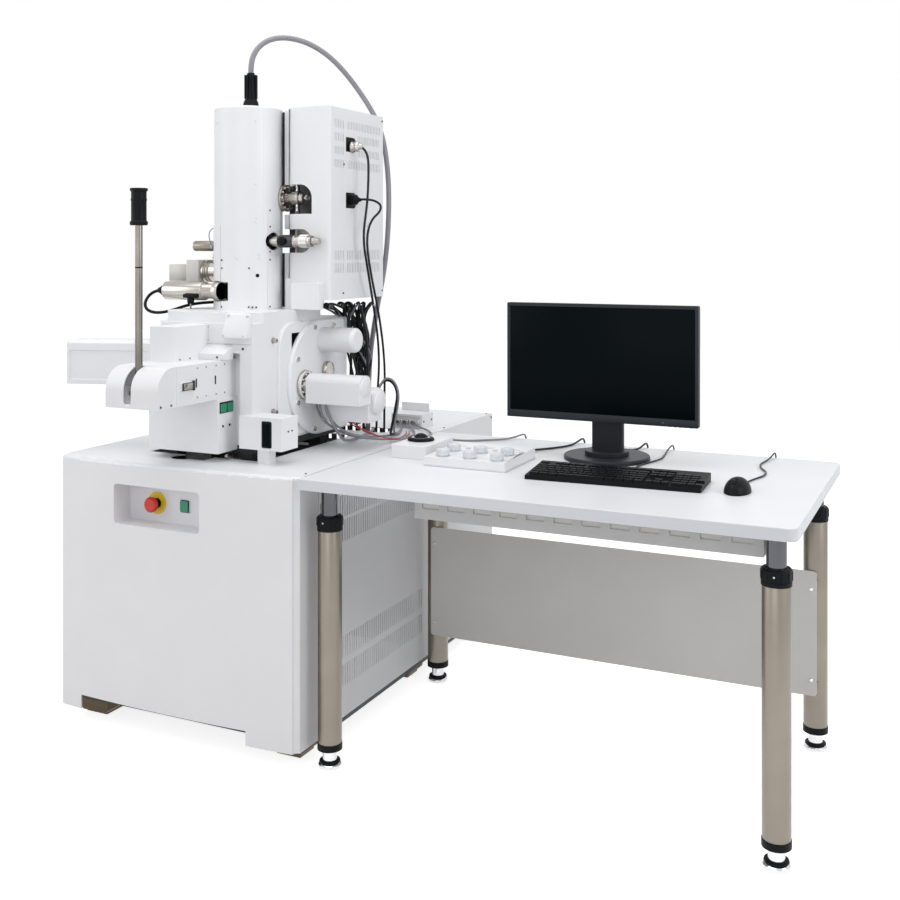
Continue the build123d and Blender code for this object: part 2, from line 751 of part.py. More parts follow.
stage_lead = [
    (640, 369, 869), (640, 369, 848), (650, 385, 815), (655, 410, 780), (650, 450, 752), (640, 500, 741),
    (632, 560, 739), (625, 620, 739), (618, 670, 741), (608, 705, 744), (596, 730, 738), (590, 742, 715),
]


def down_lead(x, y, drift, end_x):
    """Lead from the pump housing's underside into the console's cable duct."""
    return [(x, y, pump_z0 + 3), (x, y, 1120), (x + drift, y + 12, 1070), (x + drift, y + 26, 1010),
            (x, y + 40, 950), (x - drift, y + 52, 890), ((x + end_x) / 2, 735, 830), (end_x, 752, 770),
            (end_x, 756, 715)]


def instrument_cables():
    routes = [(side_hose, 9), (lead_a, 7), (lead_b, 7), (stage_lead, 8)]
    routes += [(down_lead(x, y, drift, end_x), d) for x, y, drift, end_x, d in down_leads]
    return [lead(points, d)[0] for points, d in routes]


# Desk

leg_xs = (desk_x0 + leg_side, desk_x1 - leg_side)
leg_ys = (leg_front, desk_d - leg_rear)
modesty_y = leg_ys[1] - leg_r - 5


def desk_legs():
    legs = []
    for x in leg_xs:
        for y in leg_ys:
            leg = bar((x, y, leg_bottom), (x, y, leg_top), leg_r)
            leg -= bar((x, y, leg_bottom + 6), (x, y, leg_top + 1), leg_r - 3)
            collar = bar((x, y, leg_top), (x, y, leg_top + collar_h), collar_r)
            collar = chamfer(collar.faces().sort_by(Axis.Z)[-1].edges(), 4)
            leg += collar - bar((x, y, leg_top - 1), (x, y, leg_top + collar_h + 1), post_r + post_fit)
            leg += bar((x, y, 14), (x, y, leg_bottom), 18) + bar((x, y, 0), (x, y, 14), 29)
            legs.append(leg)
    for i, x in enumerate(leg_xs):
        for z in (175, 440):
            lug = block(x - 12, x + 12, modesty_y, leg_ys[1], z - 12, z + 12)
            lug -= bar((x, leg_ys[1], z - 20), (x, leg_ys[1], z + 20), leg_r - 1)
            legs[2 * i + 1] += lug
    return legs


def modesty_panel():
    x0, x1 = desk_x0 + 47, desk_x1 - 44
    panel = block(x0, x1, modesty_y - 3, modesty_y, 149, 472)
    return rounded(panel, Axis.Y, 10)


def desk_top():
    top = block(desk_x0, desk_x1, 0, desk_d, desk_z - desk_t, desk_z)
    uprights = top.edges().filter_by(Axis.Z).sort_by(Axis.X)[-2:]
    top = fillet(uprights, 24)
    return chamfer(top.faces().sort_by(Axis.Z)[-1].edges(), 1.5)


def desk_posts():
    posts = []
    for x in leg_xs:
        for y in leg_ys:
            posts.append(bar((x, y, 250), (x, y, desk_z - desk_t), post_r))
    return posts


tray_xs = (desk_x0 + 262, desk_x0 + 262 + tray_w)
tray_ys = (125, desk_d - 60 - tray_d)
tray_t = 2


def cable_trays():
    """Two sheet trays under the desk top, the front one slotted along its wall."""
    trays = []
    z1 = desk_z - desk_t
    z0 = z1 - tray_h - 8
    x0, x1 = tray_xs
    for y in tray_ys:
        tray = block(x0, x1, y, y + tray_d, z0, z1) - block(x0 - 1, x1 + 1, y + tray_t, y + tray_d - tray_t,
                                                             z0 + tray_t, z1 + 1)
        tray -= block(x0 - 1, x1 + 1, y + tray_t, y + tray_d + 1, z1 - 24, z1 + 1)
        for x in (x0, (x0 + x1) / 2, x1 - 20):
            tray += block(x, x + 20, y, y + tray_d, z1 - 3, z1)
            tray += block(x, x + 20, y + tray_d - tray_t, y + tray_d, z0, z1)
        for i in range(12):
            x = x0 + 22 + i * 69
            tray -= block(x, x + 46, y - 1, y + tray_t + 1, z1 - 44, z1 - 32)
        trays.append(tray)
    return trays


# Monitor

pivot_y = monitor_y + monitor_t + 10
pivot_z = 1000
neck_y = pivot_y + 14
base_y = 590
monitor_exit = (monitor_x + 30, base_y + monitor_base_r, desk_z + 5)


def monitor_base():
    base = bar((monitor_x, base_y, desk_z), (monitor_x, base_y, desk_z + monitor_base_t), monitor_base_r)
    base = fillet(base.faces().sort_by(Axis.Z)[-1].edges(), 5)
    x, y, z = monitor_exit
    return base + block(x - 6, x + 6, y - 14, y, desk_z, z + 5)


def monitor_neck():
    z0 = desk_z + monitor_base_t
    neck = block(monitor_x - 44, monitor_x + 44, neck_y, neck_y + 28, z0 + swivel_gap, 1036)
    neck = rounded(neck, Axis.Z, 9)
    return neck + bar((monitor_x, base_y, z0 + swivel_gap), (monitor_x, base_y, z0 + 12), 60)


def monitor_bracket():
    plate = block(monitor_x - 32, monitor_x + 32, neck_y - 6, neck_y - swivel_gap, pivot_z - 70, pivot_z + 30)
    for side in (-1, 1):
        x = monitor_x + side * 24
        ear = block(x - 5, x + 5, pivot_y - 6.2, neck_y - 6, pivot_z - 9, pivot_z + 9)
        plate += ear - bar((x - 6, pivot_y, pivot_z), (x + 6, pivot_y, pivot_z), tilt_pin_r + pin_fit)
    return plate


def monitor_screen():
    x0, x1 = monitor_x - monitor_w / 2, monitor_x + monitor_w / 2
    z0, z1 = monitor_z, monitor_z + monitor_h
    y0, y1 = monitor_y, monitor_y + monitor_t
    front = block(x0, x1, y0, y0 + 20, z0, z1)
    front = rounded(front, Axis.Y, 4)
    front -= block(x0 + 9, x1 - 9, y0 - 1, y0 + 1.5, z0 + 20, z1 - 9)
    rear = block(x0 + 60, x1 - 60, y0 + 20, y1, z0 + 40, z1 - 40)
    rear = chamfer(rear.faces().sort_by(Axis.Y)[-1].edges(), 14)
    knuckle = bar((monitor_x - 18, pivot_y, pivot_z), (monitor_x + 18, pivot_y, pivot_z), 8)
    knuckle += block(monitor_x - 18, monitor_x + 18, y1 - 1, pivot_y, pivot_z - 7, pivot_z + 7)
    pin = bar((monitor_x - 29, pivot_y, pivot_z), (monitor_x + 29, pivot_y, pivot_z), tilt_pin_r)
    return front + rear + knuckle + pin


# Things on the desk

keyboard_x = 1510
keyboard_y = 321
keyboard_turn = 2.9
key_pitch = 19
key_rows = (
    (1.25, 1.25, 1.25, 6.25, 1.25, 1.25, 1.25, 1.25, -0.25, 1, 1, 1, -0.25, 2, 1, 1),
    (2.25, 1, 1, 1, 1, 1, 1, 1, 1, 1, 1, 2.75, -1.25, 1, -1.25, 1, 1, 1),
    (1.75, 1, 1, 1, 1, 1, 1, 1, 1, 1, 1, 1, 2.25, -3.5, 1, 1, 1, 1),
    (1.5, 1, 1, 1, 1, 1, 1, 1, 1, 1, 1, 1, 1, 1.5, -0.25, 1, 1, 1, -0.25, 1, 1, 1),
    (1, 1, 1, 1, 1, 1, 1, 1, 1, 1, 1, 1, 1, 2, -0.25, 1, 1, 1, -0.25, 1, 1, 1),
    (1, -1, 1, 1, 1, 1, -0.5, 1, 1, 1, 1, -0.5, 1, 1, 1, 1, -0.25, 1, 1, 1),
)


def keyboard():
    w, d = 434, 148
    place = Pos(keyboard_x, keyboard_y, desk_z) * Rot(0, 0, keyboard_turn)
    side = Plane.YZ * Polyline((-d / 2, 0), (d / 2, 0), (d / 2, 22), (-d / 2, 11), close=True)
    body = extrude(make_face(side), w / 2, both=True)
    keys = []
    for i, row in enumerate(key_rows):
        y = -d / 2 + 8 + i * key_pitch + (6 if i == 5 else 0)
        z = 11 + (y + d / 2) * 11 / d
        x = -w / 2 + 9
        for width in row:
            if width > 0:
                keys.append(block(x + 1, x + width * key_pitch - 1, y + 1, y + key_pitch - 1, z - 2, z + 6))
            x += abs(width) * key_pitch
    return place * (body + keys)


mouse_x = 1805
mouse_y = 313


def mouse():
    w, d, h = 62, 106, 35
    with BuildSketch() as plan:
        Ellipse(w / 2, d / 2)
    body = extrude(plan.sketch, h)
    body = fillet(body.faces().sort_by(Axis.Z)[-1].edges(), 14)
    return Pos(mouse_x, mouse_y, desk_z) * body


panel_x0, panel_x1 = 992, 1223
panel_y0, panel_y1 = 288, 505
panel_front_h = 24
panel_rear_h = 31
knob_lift = 0.3


def panel_height(y):
    share = (y - panel_y0) / (panel_y1 - panel_y0)
    return desk_z + panel_front_h + share * (panel_rear_h - panel_front_h)


def knob_panel():
    side = Polyline((panel_y0, desk_z), (panel_y1, desk_z), (panel_y1, desk_z + panel_rear_h),
                    (panel_y0, desk_z + panel_front_h), close=True)
    section = make_face(Plane.YZ * side)
    body = Pos(panel_x0, 0, 0) * extrude(section, panel_x1 - panel_x0)
    for x in knob_xs:
        for y in knob_ys:
            body += bar((x, y, panel_height(y) - 4), (x, y, panel_height(y) + 3), knob_r - 4)
            body -= bar((x, y, panel_height(y) - 8), (x, y, panel_height(y) + 4), 4 + knob_lift)
        body += block(x + 22, x + 32, 420, 430, panel_height(420) - 2, panel_height(420) + 3)
    return body


def knob(x, y):
    z = panel_height(y) + 3 + knob_lift
    body = bar((x, y, z), (x, y, z + knob_h), knob_r, knob_r - 2)
    for i in range(12):
        a = 2 * pi * i / 12
        px, py = x + (knob_r + 0.6) * cos(a), y + (knob_r + 0.6) * sin(a)
        body -= bar((px, py, z + 4), (px, py, z + knob_h + 1), 2)
    return body + bar((x, y, z - 9), (x, y, z), 4)


ball_x = 905
ball_y = 445
box_x0, box_x1 = 860, 965
trackbox_y0, trackbox_y1 = 354, 530
trackbox_h = 37
ball_r = 24
ball_gap = 0.3


def trackball_box():
    body = block(box_x0, box_x1, trackbox_y0, trackbox_y1, desk_z, desk_z + trackbox_h)
    ring = bar((ball_x, ball_y, desk_z + trackbox_h), (ball_x, ball_y, desk_z + trackbox_h + 9), 36, 29)
    body += ring
    centre = Pos(ball_x, ball_y, desk_z + trackbox_h - 4)
    return body - centre * Sphere(ball_r + ball_gap)


def trackball():
    return Pos(ball_x, ball_y, desk_z + trackbox_h - 4) * Sphere(ball_r)


# Cords on the desk, each over the rear edge into the rear tray

edge_y = desk_d
tray_end = desk_d - 100


def over_edge(x):
    """Last points of a cord: over the desk's rear edge and forward into the tray."""
    return [(x, edge_y + 10, desk_z + 12), (x, edge_y + 26, desk_z + 2), (x, edge_y + 30, desk_z - 18),
            (x, edge_y + 20, desk_z - 36), (x, edge_y, desk_z - 41), (x, edge_y - 24, desk_z - 41),
            (x, tray_end + 34, desk_z - 42), (x, tray_end, desk_z - 44)]


usb_d = 4.5
keyboard_route = [
    (1516, 397, desk_z + 9), (1517, 412, desk_z + 8), (1516, 440, desk_z + 3.2), (1509, 480, desk_z + 3),
    (1512, 530, desk_z + 3), (1528, 580, desk_z + 3), (1540, 635, desk_z + 3), (1534, 690, desk_z + 3),
    (1528, 735, desk_z + 4), (1526, 775, desk_z + 9), *over_edge(1526),
]
mouse_route = [
    (mouse_x, mouse_y + 54, desk_z + 8), (mouse_x, mouse_y + 70, desk_z + 7), (1806, 415, desk_z + 3),
    (1816, 465, desk_z + 3), (1832, 515, desk_z + 3), (1830, 570, desk_z + 3), (1805, 620, desk_z + 3),
    (1795, 675, desk_z + 3), (1806, 730, desk_z + 4), (1810, 772, desk_z + 9), *over_edge(1811),
]
panel_route = [
    (1160, 505, desk_z + 14), (1160, 525, desk_z + 14), (1164, 560, desk_z + 9), (1180, 610, desk_z + 4),
    (1212, 655, desk_z + 3.5), (1240, 700, desk_z + 3.5), (1252, 742, desk_z + 4), (1256, 776, desk_z + 9),
    *over_edge(1257),
]
trackball_route = [
    (912, 530, desk_z + 18), (912, 548, desk_z + 18), (918, 585, desk_z + 20), (935, 630, desk_z + 10),
    (960, 675, desk_z + 4), (1000, 712, desk_z + 4), (1040, 742, desk_z + 4), (1062, 774, desk_z + 9),
    *over_edge(1070),
]
monitor_route = [
    monitor_exit, (monitor_x + 30, 722, desk_z + 5), (1438, 738, desk_z + 4), (1444, 756, desk_z + 4.5),
    (1448, 778, desk_z + 9), *over_edge(1449),
]


keep("base_frame", base_frame())
keep("front_cover", front_cover())
keep("left_cover", side_cover(0, False))
keep("right_cover", side_cover(console_w - sheet, True))
keep("rear_cover", rear_cover())
keep("top_cover", top_cover())
keep("switch_panel", *switch_panel())
keep("estop_button", estop_button())
keep("main_switch", main_switch())
keep("console_feet", *console_feet())
keep("electronics_rack", electronics_rack())
keep("turbo_pump", turbo_pump())
keep("isolation_plate", *isolation_plate())
keep("chamber", chamber())
keep("electron_column", electron_column())
keep("column_cover", column_cover())
keep("pump_cover", *pump_cover())
keep("ion_pumps", ion_pumps())
high_knob, low_knob = valve_knobs()
keep("upper_valve_knob", high_knob)
keep("lower_valve_knob", low_knob)
keep("hv_gland", hv_gland())
cord("hv_cable", hv_route, hv_d)
keep("stage_door", *stage_door())
keep("stage_drives", *stage_drives())
keep("airlock_body", airlock_body())
keep("rod_guard", rod_guard())
keep("exchange_rod", exchange_rod())
keep("airlock_switch_box", airlock_switch_box())
keep("vent_button", vent_button(vent_ys[0]))
keep("evac_button", vent_button(vent_ys[1]))
keep("detector_housing", detector_housing())
keep("side_detector", *side_detector(), *side_fittings())
keep("scope_box", scope_box())
keep("connector_box", connector_box())
keep("instrument_cables", *instrument_cables())
keep("desk_legs", *desk_legs())
keep("modesty_panel", modesty_panel())
keep("desk_top", desk_top())
keep("desk_posts", *desk_posts())
keep("cable_trays", *cable_trays())
keep("monitor_base", monitor_base())
keep("monitor_neck", monitor_neck())
keep("monitor_bracket", monitor_bracket())
keep("monitor_screen", monitor_screen())
keep("keyboard", keyboard())
keep("mouse", mouse())
keep("knob_panel", knob_panel())
number = 0
for knob_y in knob_ys:
    for knob_x in knob_xs:
        number += 1
        keep(f"knob_{number}", knob(knob_x, knob_y))
keep("trackball_box", trackball_box())
keep("trackball", trackball())
cord("keyboard_cord", keyboard_route, usb_d)
cord("mouse_cord", mouse_route, usb_d)
cord("panel_cord", panel_route, 6)
cord("trackball_cord", trackball_route, 6)
cord("monitor_cord", monitor_route, 6)

# Origin: the middle of the footprint without the desk's cords, on the floor
boxes = [solid.bounding_box() for name, solids in pieces.items() if not name.endswith("_cord") for solid in solids]
origin_x = (min(b.min.X for b in boxes) + max(b.max.X for b in boxes)) / 2
origin_y = (min(b.min.Y for b in boxes) + max(b.max.Y for b in boxes)) / 2
print("origin", origin_x, origin_y, "height", max(b.max.Z for b in boxes))

os.makedirs("parts", exist_ok=True)
for name, solids in pieces.items():
    placed = [Pos(-origin_x, -origin_y, 0) * solid for solid in solids]
    whole = placed[0] if len(placed) == 1 else Compound(children=placed)
    whole.label = name
    export_step(whole, f"parts/{name}.step")
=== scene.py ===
import json
from functools import partial
from math import cos, pi, radians, sin

import bpy
from bpy.props import FloatProperty, PointerProperty, StringProperty
from mathutils import Matrix, Vector

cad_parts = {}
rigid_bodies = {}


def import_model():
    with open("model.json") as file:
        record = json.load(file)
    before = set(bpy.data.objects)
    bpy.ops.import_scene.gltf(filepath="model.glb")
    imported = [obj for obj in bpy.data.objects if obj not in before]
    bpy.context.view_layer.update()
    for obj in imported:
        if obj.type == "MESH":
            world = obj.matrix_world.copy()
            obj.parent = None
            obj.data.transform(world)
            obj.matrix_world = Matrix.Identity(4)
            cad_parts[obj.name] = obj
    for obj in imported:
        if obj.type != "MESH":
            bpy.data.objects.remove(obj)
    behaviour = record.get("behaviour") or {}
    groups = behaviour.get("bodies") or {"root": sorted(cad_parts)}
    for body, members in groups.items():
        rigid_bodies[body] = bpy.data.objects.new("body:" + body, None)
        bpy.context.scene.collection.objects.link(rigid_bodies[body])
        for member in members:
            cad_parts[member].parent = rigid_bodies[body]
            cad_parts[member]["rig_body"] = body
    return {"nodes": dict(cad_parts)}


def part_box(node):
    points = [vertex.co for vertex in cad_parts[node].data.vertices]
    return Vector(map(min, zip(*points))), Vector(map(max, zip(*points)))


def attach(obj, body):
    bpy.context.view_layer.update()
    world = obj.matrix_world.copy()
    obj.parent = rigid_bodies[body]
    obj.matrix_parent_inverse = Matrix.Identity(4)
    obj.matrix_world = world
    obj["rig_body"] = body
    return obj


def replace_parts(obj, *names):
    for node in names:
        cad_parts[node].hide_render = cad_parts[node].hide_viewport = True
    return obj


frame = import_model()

bl_info = {
    "name": "Scanning electron microscope",
    "version": (1, 0, 0),
    "blender": (4, 5, 0),
    "location": "View3D > Sidebar > Microscope",
    "description": "Dresses the microscope's packed frame with its covers, fittings and finishes",
    "category": "Object",
}

# The frame: millimetres from the console's left side, from the desk's front edge and from the floor
MM = 0.001
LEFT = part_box("left_cover")[0].x
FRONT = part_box("desk_top")[0].y
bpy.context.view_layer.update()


def at(x, y, z):
    """Metres from millimetres right of the console's left side, behind its front and over the floor."""
    return Vector((LEFT + x * MM, FRONT + y * MM, z * MM))


def mm(name):
    """Lowest and highest corner of a CAD node in millimetres."""
    low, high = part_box(name)
    origin = Vector((LEFT, FRONT, 0))
    return (low - origin) / MM, (high - origin) / MM


CONSOLE_W = mm("right_cover")[1].x
CONSOLE_TOP = mm("top_cover")[1].z
DESK_LOW, DESK_HIGH = mm("desk_top")
COLUMN_LOW, COLUMN_HIGH = mm("column_cover")
PUMP_LOW, PUMP_HIGH = mm("pump_cover")
COLUMN_X = (mm("exchange_rod")[0].x + mm("exchange_rod")[1].x) / 2
COLUMN_Y = (mm("hv_gland")[0].y + mm("hv_gland")[1].y) / 2
COLUMN_R = COLUMN_HIGH.y - COLUMN_Y
COLUMN_SHEET = COLUMN_R + 2.2
COVER_ROWS = (70, 395, 720)
UPPER_VALVE_Z, LOWER_VALVE_Z = 1455, 1328
STAGE_Z = 917
AIRLOCK_SIDE = 475
DETECTOR_Y, DETECTOR_Z = 280, 1184
DRIVE_Z, GAUGE_Z = 1240, 1315


# Sizes and colours that a user may change

class MicroscopeSizes(bpy.types.PropertyGroup):
    edge: FloatProperty(name="Edge", description="Bevel on sheet and machined edges", default=0.8 * MM,
        unit="LENGTH")
    lens: FloatProperty(name="Lens", description="Focal length on a 36 mm sensor", default=45.09)


class MicroscopeColours(bpy.types.PropertyGroup):
    coat: StringProperty(name="Coat", description="Powder coat of the covers", default="E9EAED")
    moulding: StringProperty(name="Moulding", description="Moulded covers", default="E8E8EB")
    laminate: StringProperty(name="Laminate", description="Desk top", default="E6E7EA")
    panel: StringProperty(name="Panel", description="Modesty panel and trays", default="D2D0CD")
    tube: StringProperty(name="Tube", description="Satin tube of the legs", default="8C857B")
    floor: StringProperty(name="Floor", description="Studio floor", default="D8D8D8")


# Modelling helpers

def clear():
    bpy.ops.object.select_all(action="DESELECT")


def use(obj):
    """Makes one object the only selected and active one."""
    clear()
    obj.select_set(True)
    bpy.context.view_layer.objects.active = obj
    return obj


def modify(obj, kind, **settings):
    """Adds one modifier and applies it."""
    use(obj)
    modifier = obj.modifiers.new(kind.title(), kind)
    for name, value in settings.items():
        setattr(modifier, name, value)
    bpy.ops.object.modifier_apply(modifier=modifier.name)
    return obj


def bevel(obj, width, segments=2, angle=30):
    """Rounds the edges sharper than an angle."""
    return modify(obj, "BEVEL", width=width, segments=segments, limit_method="ANGLE",
        angle_limit=radians(angle), harden_normals=False, use_clamp_overlap=True)


def settle(obj):
    """Puts the object's place into its mesh."""
    use(obj)
    bpy.ops.object.transform_apply(location=True, rotation=True, scale=True)
    return obj


def smooth(obj, angle=35):
    use(obj)
    bpy.ops.object.shade_smooth_by_angle(angle=radians(angle))
    return obj


def slab(low, high, edge=0.8, segments=2):
    """Block between two corners in millimetres, with its edges broken."""
    low, high = at(*low), at(*high)
    clear()
    bpy.ops.mesh.primitive_cube_add(size=1, location=(low + high) / 2, scale=high - low)
    obj = settle(bpy.context.object)
    return bevel(obj, edge * MM, segments) if edge else obj


def shaped(low, high, moves, edge=0.8, segments=2):
    """Block with moved corners: moves maps a corner, 0 or 1 along x, y and z, to a shift in millimetres."""
    obj = slab(low, high, 0)
    middle = at(*low) + (at(*high) - at(*low)) / 2
    for vertex in obj.data.vertices:
        corner = tuple(int(a > b) for a, b in zip(vertex.co, middle))
        vertex.co += Vector(moves.get(corner, (0, 0, 0))) * MM
    return bevel(obj, edge * MM, segments) if edge else obj


def turned(start, direction, rings, sides=32):
    """Turned piece: rings are (distance, radius) pairs in millimetres along a direction from a start."""
    clear()
    bpy.ops.mesh.primitive_circle_add(vertices=sides, radius=rings[0][1] * MM, fill_type="NGON")
    obj = bpy.context.object
    bpy.ops.object.mode_set(mode="EDIT")
    bpy.ops.mesh.select_all(action="SELECT")
    for (before, r0), (along, r1) in zip(rings, rings[1:]):
        step = (along - before) * MM
        bpy.ops.mesh.extrude_region_move(TRANSFORM_OT_translate={"value": (0, 0, step)})
        bpy.ops.transform.resize(value=(r1 / r0, r1 / r0, 1), center_override=(0, 0,
            (along - rings[0][0]) * MM))
    bpy.ops.mesh.select_all(action="SELECT")
    bpy.ops.mesh.normals_make_consistent(inside=False)
    bpy.ops.object.mode_set(mode="OBJECT")
    turn = Vector((0, 0, 1)).rotation_difference(Vector(direction)).to_matrix().to_4x4()
    shift = at(*start) + Vector(direction).normalized() * rings[0][0] * MM
    obj.data.transform(Matrix.Translation(shift) @ turn)
    return obj


def copies(obj, offsets):
    """The piece at each offset in millimetres, each copy with its own mesh, joined into one."""
    made = []
    for offset in offsets:
        twin = obj.copy()
        twin.data = obj.data.copy()
        bpy.context.scene.collection.objects.link(twin)
        twin.data.transform(Matrix.Translation(Vector(offset) * MM))
        made.append(twin)
    bpy.data.objects.remove(obj)
    return joined(*made)


def turned_copies(obj, x, y, angles):
    """Copies of the piece, each turned by an angle in degrees about a vertical line in millimetres."""
    made = []
    for angle in angles:
        twin = obj.copy()
        twin.data = obj.data.copy()
        bpy.context.scene.collection.objects.link(twin)
        centre = at(x, y, 0)
        about = Matrix.Rotation(radians(angle), 4, "Z")
        twin.data.transform(Matrix.Translation(centre) @ about @ Matrix.Translation(-centre))
        made.append(twin)
    bpy.data.objects.remove(obj)
    return made


def circle(count, radius):
    """Evenly spaced (sine, cosine) pairs on a circle in millimetres."""
    return [(radius * sin(2 * pi * i / count), radius * cos(2 * pi * i / count)) for i in range(count)]


def joined(*pieces):
    """One object from several."""
    clear()
    for piece in pieces:
        piece.select_set(True)
    bpy.context.view_layer.objects.active = pieces[0]
    if len(pieces) > 1:
        bpy.ops.object.join()
    return bpy.context.view_layer.objects.active


def screws(places, direction, radius=3.6, height=2):
    """Socket screws in millimetres with their heads towards a direction."""
    start = places[0]
    head = turned(start, direction, [(-0.6, radius), (height * 0.7, radius), (height, radius * 0.8),
        (height, radius * 0.5), (height * 0.4, radius * 0.45)], 14)
    return copies(head, [Vector(p) - Vector(start) for p in places])


def cut(obj, tool):
    """Takes one closed piece out of another."""
    modify(obj, "BOOLEAN", operation="DIFFERENCE", object=tool, solver="EXACT")
    bpy.data.objects.remove(tool)
    return obj


def wire(name, points, diameter, material, body="console"):
    """Lead on a smooth curve through given points in millimetres."""
    curve = bpy.data.curves.new(name, "CURVE")
    curve.dimensions = "3D"
    spline = curve.splines.new("NURBS")
    spline.points.add(len(points) - 1)
    for point, place in zip(spline.points, points):
        point.co = (*at(*place), 1)
    spline.order_u = 3
    spline.use_endpoint_u = True
    spline.resolution_u = 8
    curve.bevel_depth = diameter * MM / 2
    curve.bevel_resolution = 4
    curve.use_fill_caps = True
    obj = bpy.data.objects.new(name, curve)
    bpy.context.scene.collection.objects.link(obj)
    curve.materials.append(material)
    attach(obj, body)
    return obj


def done(obj, name, material, body="console", angle=35):
    """Names a finished piece, gives it its material and lets it ride on its body."""
    smooth(obj, angle)
    obj.name = name
    obj.data.materials.clear()
    obj.data.materials.append(material)
    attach(obj, body)
    return obj


def merged(node):
    """Copy of a CAD node with its triangles' corners merged."""
    source = frame["nodes"][node]
    obj = source.copy()
    obj.data = source.data.copy()
    bpy.context.scene.collection.objects.link(obj)
    obj.parent = None
    for key in list(obj.keys()):
        del obj[key]
    use(obj)
    bpy.ops.object.mode_set(mode="EDIT")
    bpy.ops.mesh.select_all(action="SELECT")
    bpy.ops.mesh.customdata_custom_splitnormals_clear()
    bpy.ops.mesh.remove_doubles(threshold=0.00002)
    bpy.ops.object.mode_set(mode="OBJECT")
    return obj


def dressed(node, material, edge=0.8, segments=2, angle=35):
    """Merged copy of a CAD node with broken edges, which stands for the node."""
    obj = merged(node)
    if edge:
        bpy.ops.object.mode_set(mode="EDIT")
        bpy.ops.mesh.dissolve_limited(angle_limit=radians(0.5))
        bpy.ops.object.mode_set(mode="OBJECT")
        bevel(obj, edge * MM, segments, angle)
    done(obj, "dressed_" + node, material, frame["nodes"][node]["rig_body"], angle)
    modify(obj, "WEIGHTED_NORMAL", keep_sharp=True, weight=60)
    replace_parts(obj, node)
    return obj


# Materials

def linear(hexadecimal):
    """sRGB hex colour to linear values."""
    parts = [int(hexadecimal[i:i + 2], 16) / 255 for i in (0, 2, 4)]
    return (*[c / 12.92 if c <= 0.04045 else ((c + 0.055) / 1.055) ** 2.4 for c in parts], 1.0)


def add(tree, kind, values=None, links=None, **settings):
    """Adds one node with its settings, its socket values and its links."""
    item = tree.nodes.new(kind)
    for name, value in settings.items():
        setattr(item, name, value)
    for socket, value in (values or {}).items():
        item.inputs[socket].default_value = value
    for socket, source in (links or {}).items():
        tree.links.new(source, item.inputs[socket])
    return item


def surface(name, colour, roughness, grain_mm, depth_mm, metallic=0.0, ior=1.5, mottle=0.03,
    stretch=(1, 1, 1), spread=0.06, coat=0.0):
    """One finish: a base colour, given or named in the colours, slight mottling, a grain of a real size."""
    material = bpy.data.materials.get(name)
    if material:
        return material
    material = bpy.data.materials.new(name)
    material.use_nodes = True
    tree = material.node_tree
    tree.nodes.clear()
    coords = add(tree, "ShaderNodeTexCoord")
    mapping = add(tree, "ShaderNodeMapping", {"Scale": stretch}, {"Vector": coords.outputs["Object"]})
    grain = add(tree, "ShaderNodeTexNoise", {"Scale": 1000 / grain_mm, "Detail": 3, "Roughness": 0.55},
        {"Vector": mapping.outputs["Vector"]})
    cloud = add(tree, "ShaderNodeTexNoise", {"Scale": 7, "Detail": 3, "Roughness": 0.5},
        {"Vector": coords.outputs["Object"]})
    base = linear(getattr(bpy.context.scene.microscope_colours, colour, colour))
    dark = tuple(c * (1 - mottle) for c in base[:3]) + (1,)
    tint = tint_between(tree, dark, base, cloud.outputs["Fac"])
    rough = add(tree, "ShaderNodeMapRange", {"From Min": 0.3, "From Max": 0.7,
        "To Min": max(roughness - spread, 0.02), "To Max": min(roughness + spread, 1)},
        {"Value": grain.outputs["Fac"]})
    bump = add(tree, "ShaderNodeBump", {"Strength": 0.6, "Distance": depth_mm * MM},
        {"Height": grain.outputs["Fac"]})
    shader = add(tree, "ShaderNodeBsdfPrincipled", {"Metallic": metallic, "IOR": ior, "Coat Weight": coat},
        {"Base Color": tint, "Roughness": rough.outputs["Result"], "Normal": bump.outputs["Normal"]})
    add(tree, "ShaderNodeOutputMaterial", links={"Surface": shader.outputs["BSDF"]})
    material.diffuse_color = base
    return material


def tint_between(tree, dark, light, factor):
    """Colour socket that goes from a darker to a lighter tint."""
    ramp = add(tree, "ShaderNodeValToRGB", links={"Fac": factor})
    ramp.color_ramp.elements[0].position = 0.35
    ramp.color_ramp.elements[0].color = dark
    ramp.color_ramp.elements[1].position = 0.65
    ramp.color_ramp.elements[1].color = light
    return ramp.outputs["Color"]


# Epoxy powder coat: fine orange peel of about 1.5 mm, satin
powder_coat = partial(surface, "Powder_coated_steel_white", "coat", 0.42, 1.5, 0.02, mottle=0.02)
# Painted ABS moulding: finer grain than the coat and a little softer
moulded_white = partial(surface, "Painted_ABS_white", "moulding", 0.38, 0.8, 0.01, mottle=0.02)
# Powder coat in light warm grey; also the pale sheet behind the tray's slots, as painted light
grey_coat_and_slot_light = partial(surface, "Powder_coated_steel_grey_and_slot_light", "panel", 0.45, 1.5, 0.02, mottle=0.03)
# Powder coat of the trays under the desk, darker than the panel: painted shade of the desk over the trays
tray_shade_coat = partial(surface, "Powder_coat_painted_tray_shade", "C2C2C2", 0.5, 1.5, 0.02, mottle=0.03)
# Frame coat inside the covers, dark as painted shade inside the console
inner_shade_coat = partial(surface, "Powder_coat_painted_inner_shade", "3A3C40", 0.5, 1.5, 0.02)
# Plate under the chamber, near black
black_plate = partial(surface, "Steel_plate_black", "101214", 0.5, 1.2, 0.02)
# Turned stainless steel: fine tool marks, bright
stainless = partial(surface, "Turned_stainless_steel", "BDB9B3", 0.24, 0.5, 0.01, metallic=1.0, mottle=0.2,
    spread=0.08)
# Polished stainless rod: long fine draw marks; its colour, darker than the turned parts, is painted
# reflection of dark surroundings
rod_steel_painted_reflection = partial(surface, "Polished_stainless_rod_painted_reflection", "87827D", 0.18, 0.6, 0.004, metallic=1.0, mottle=0.25,
    stretch=(1, 1, 0.02), spread=0.05)
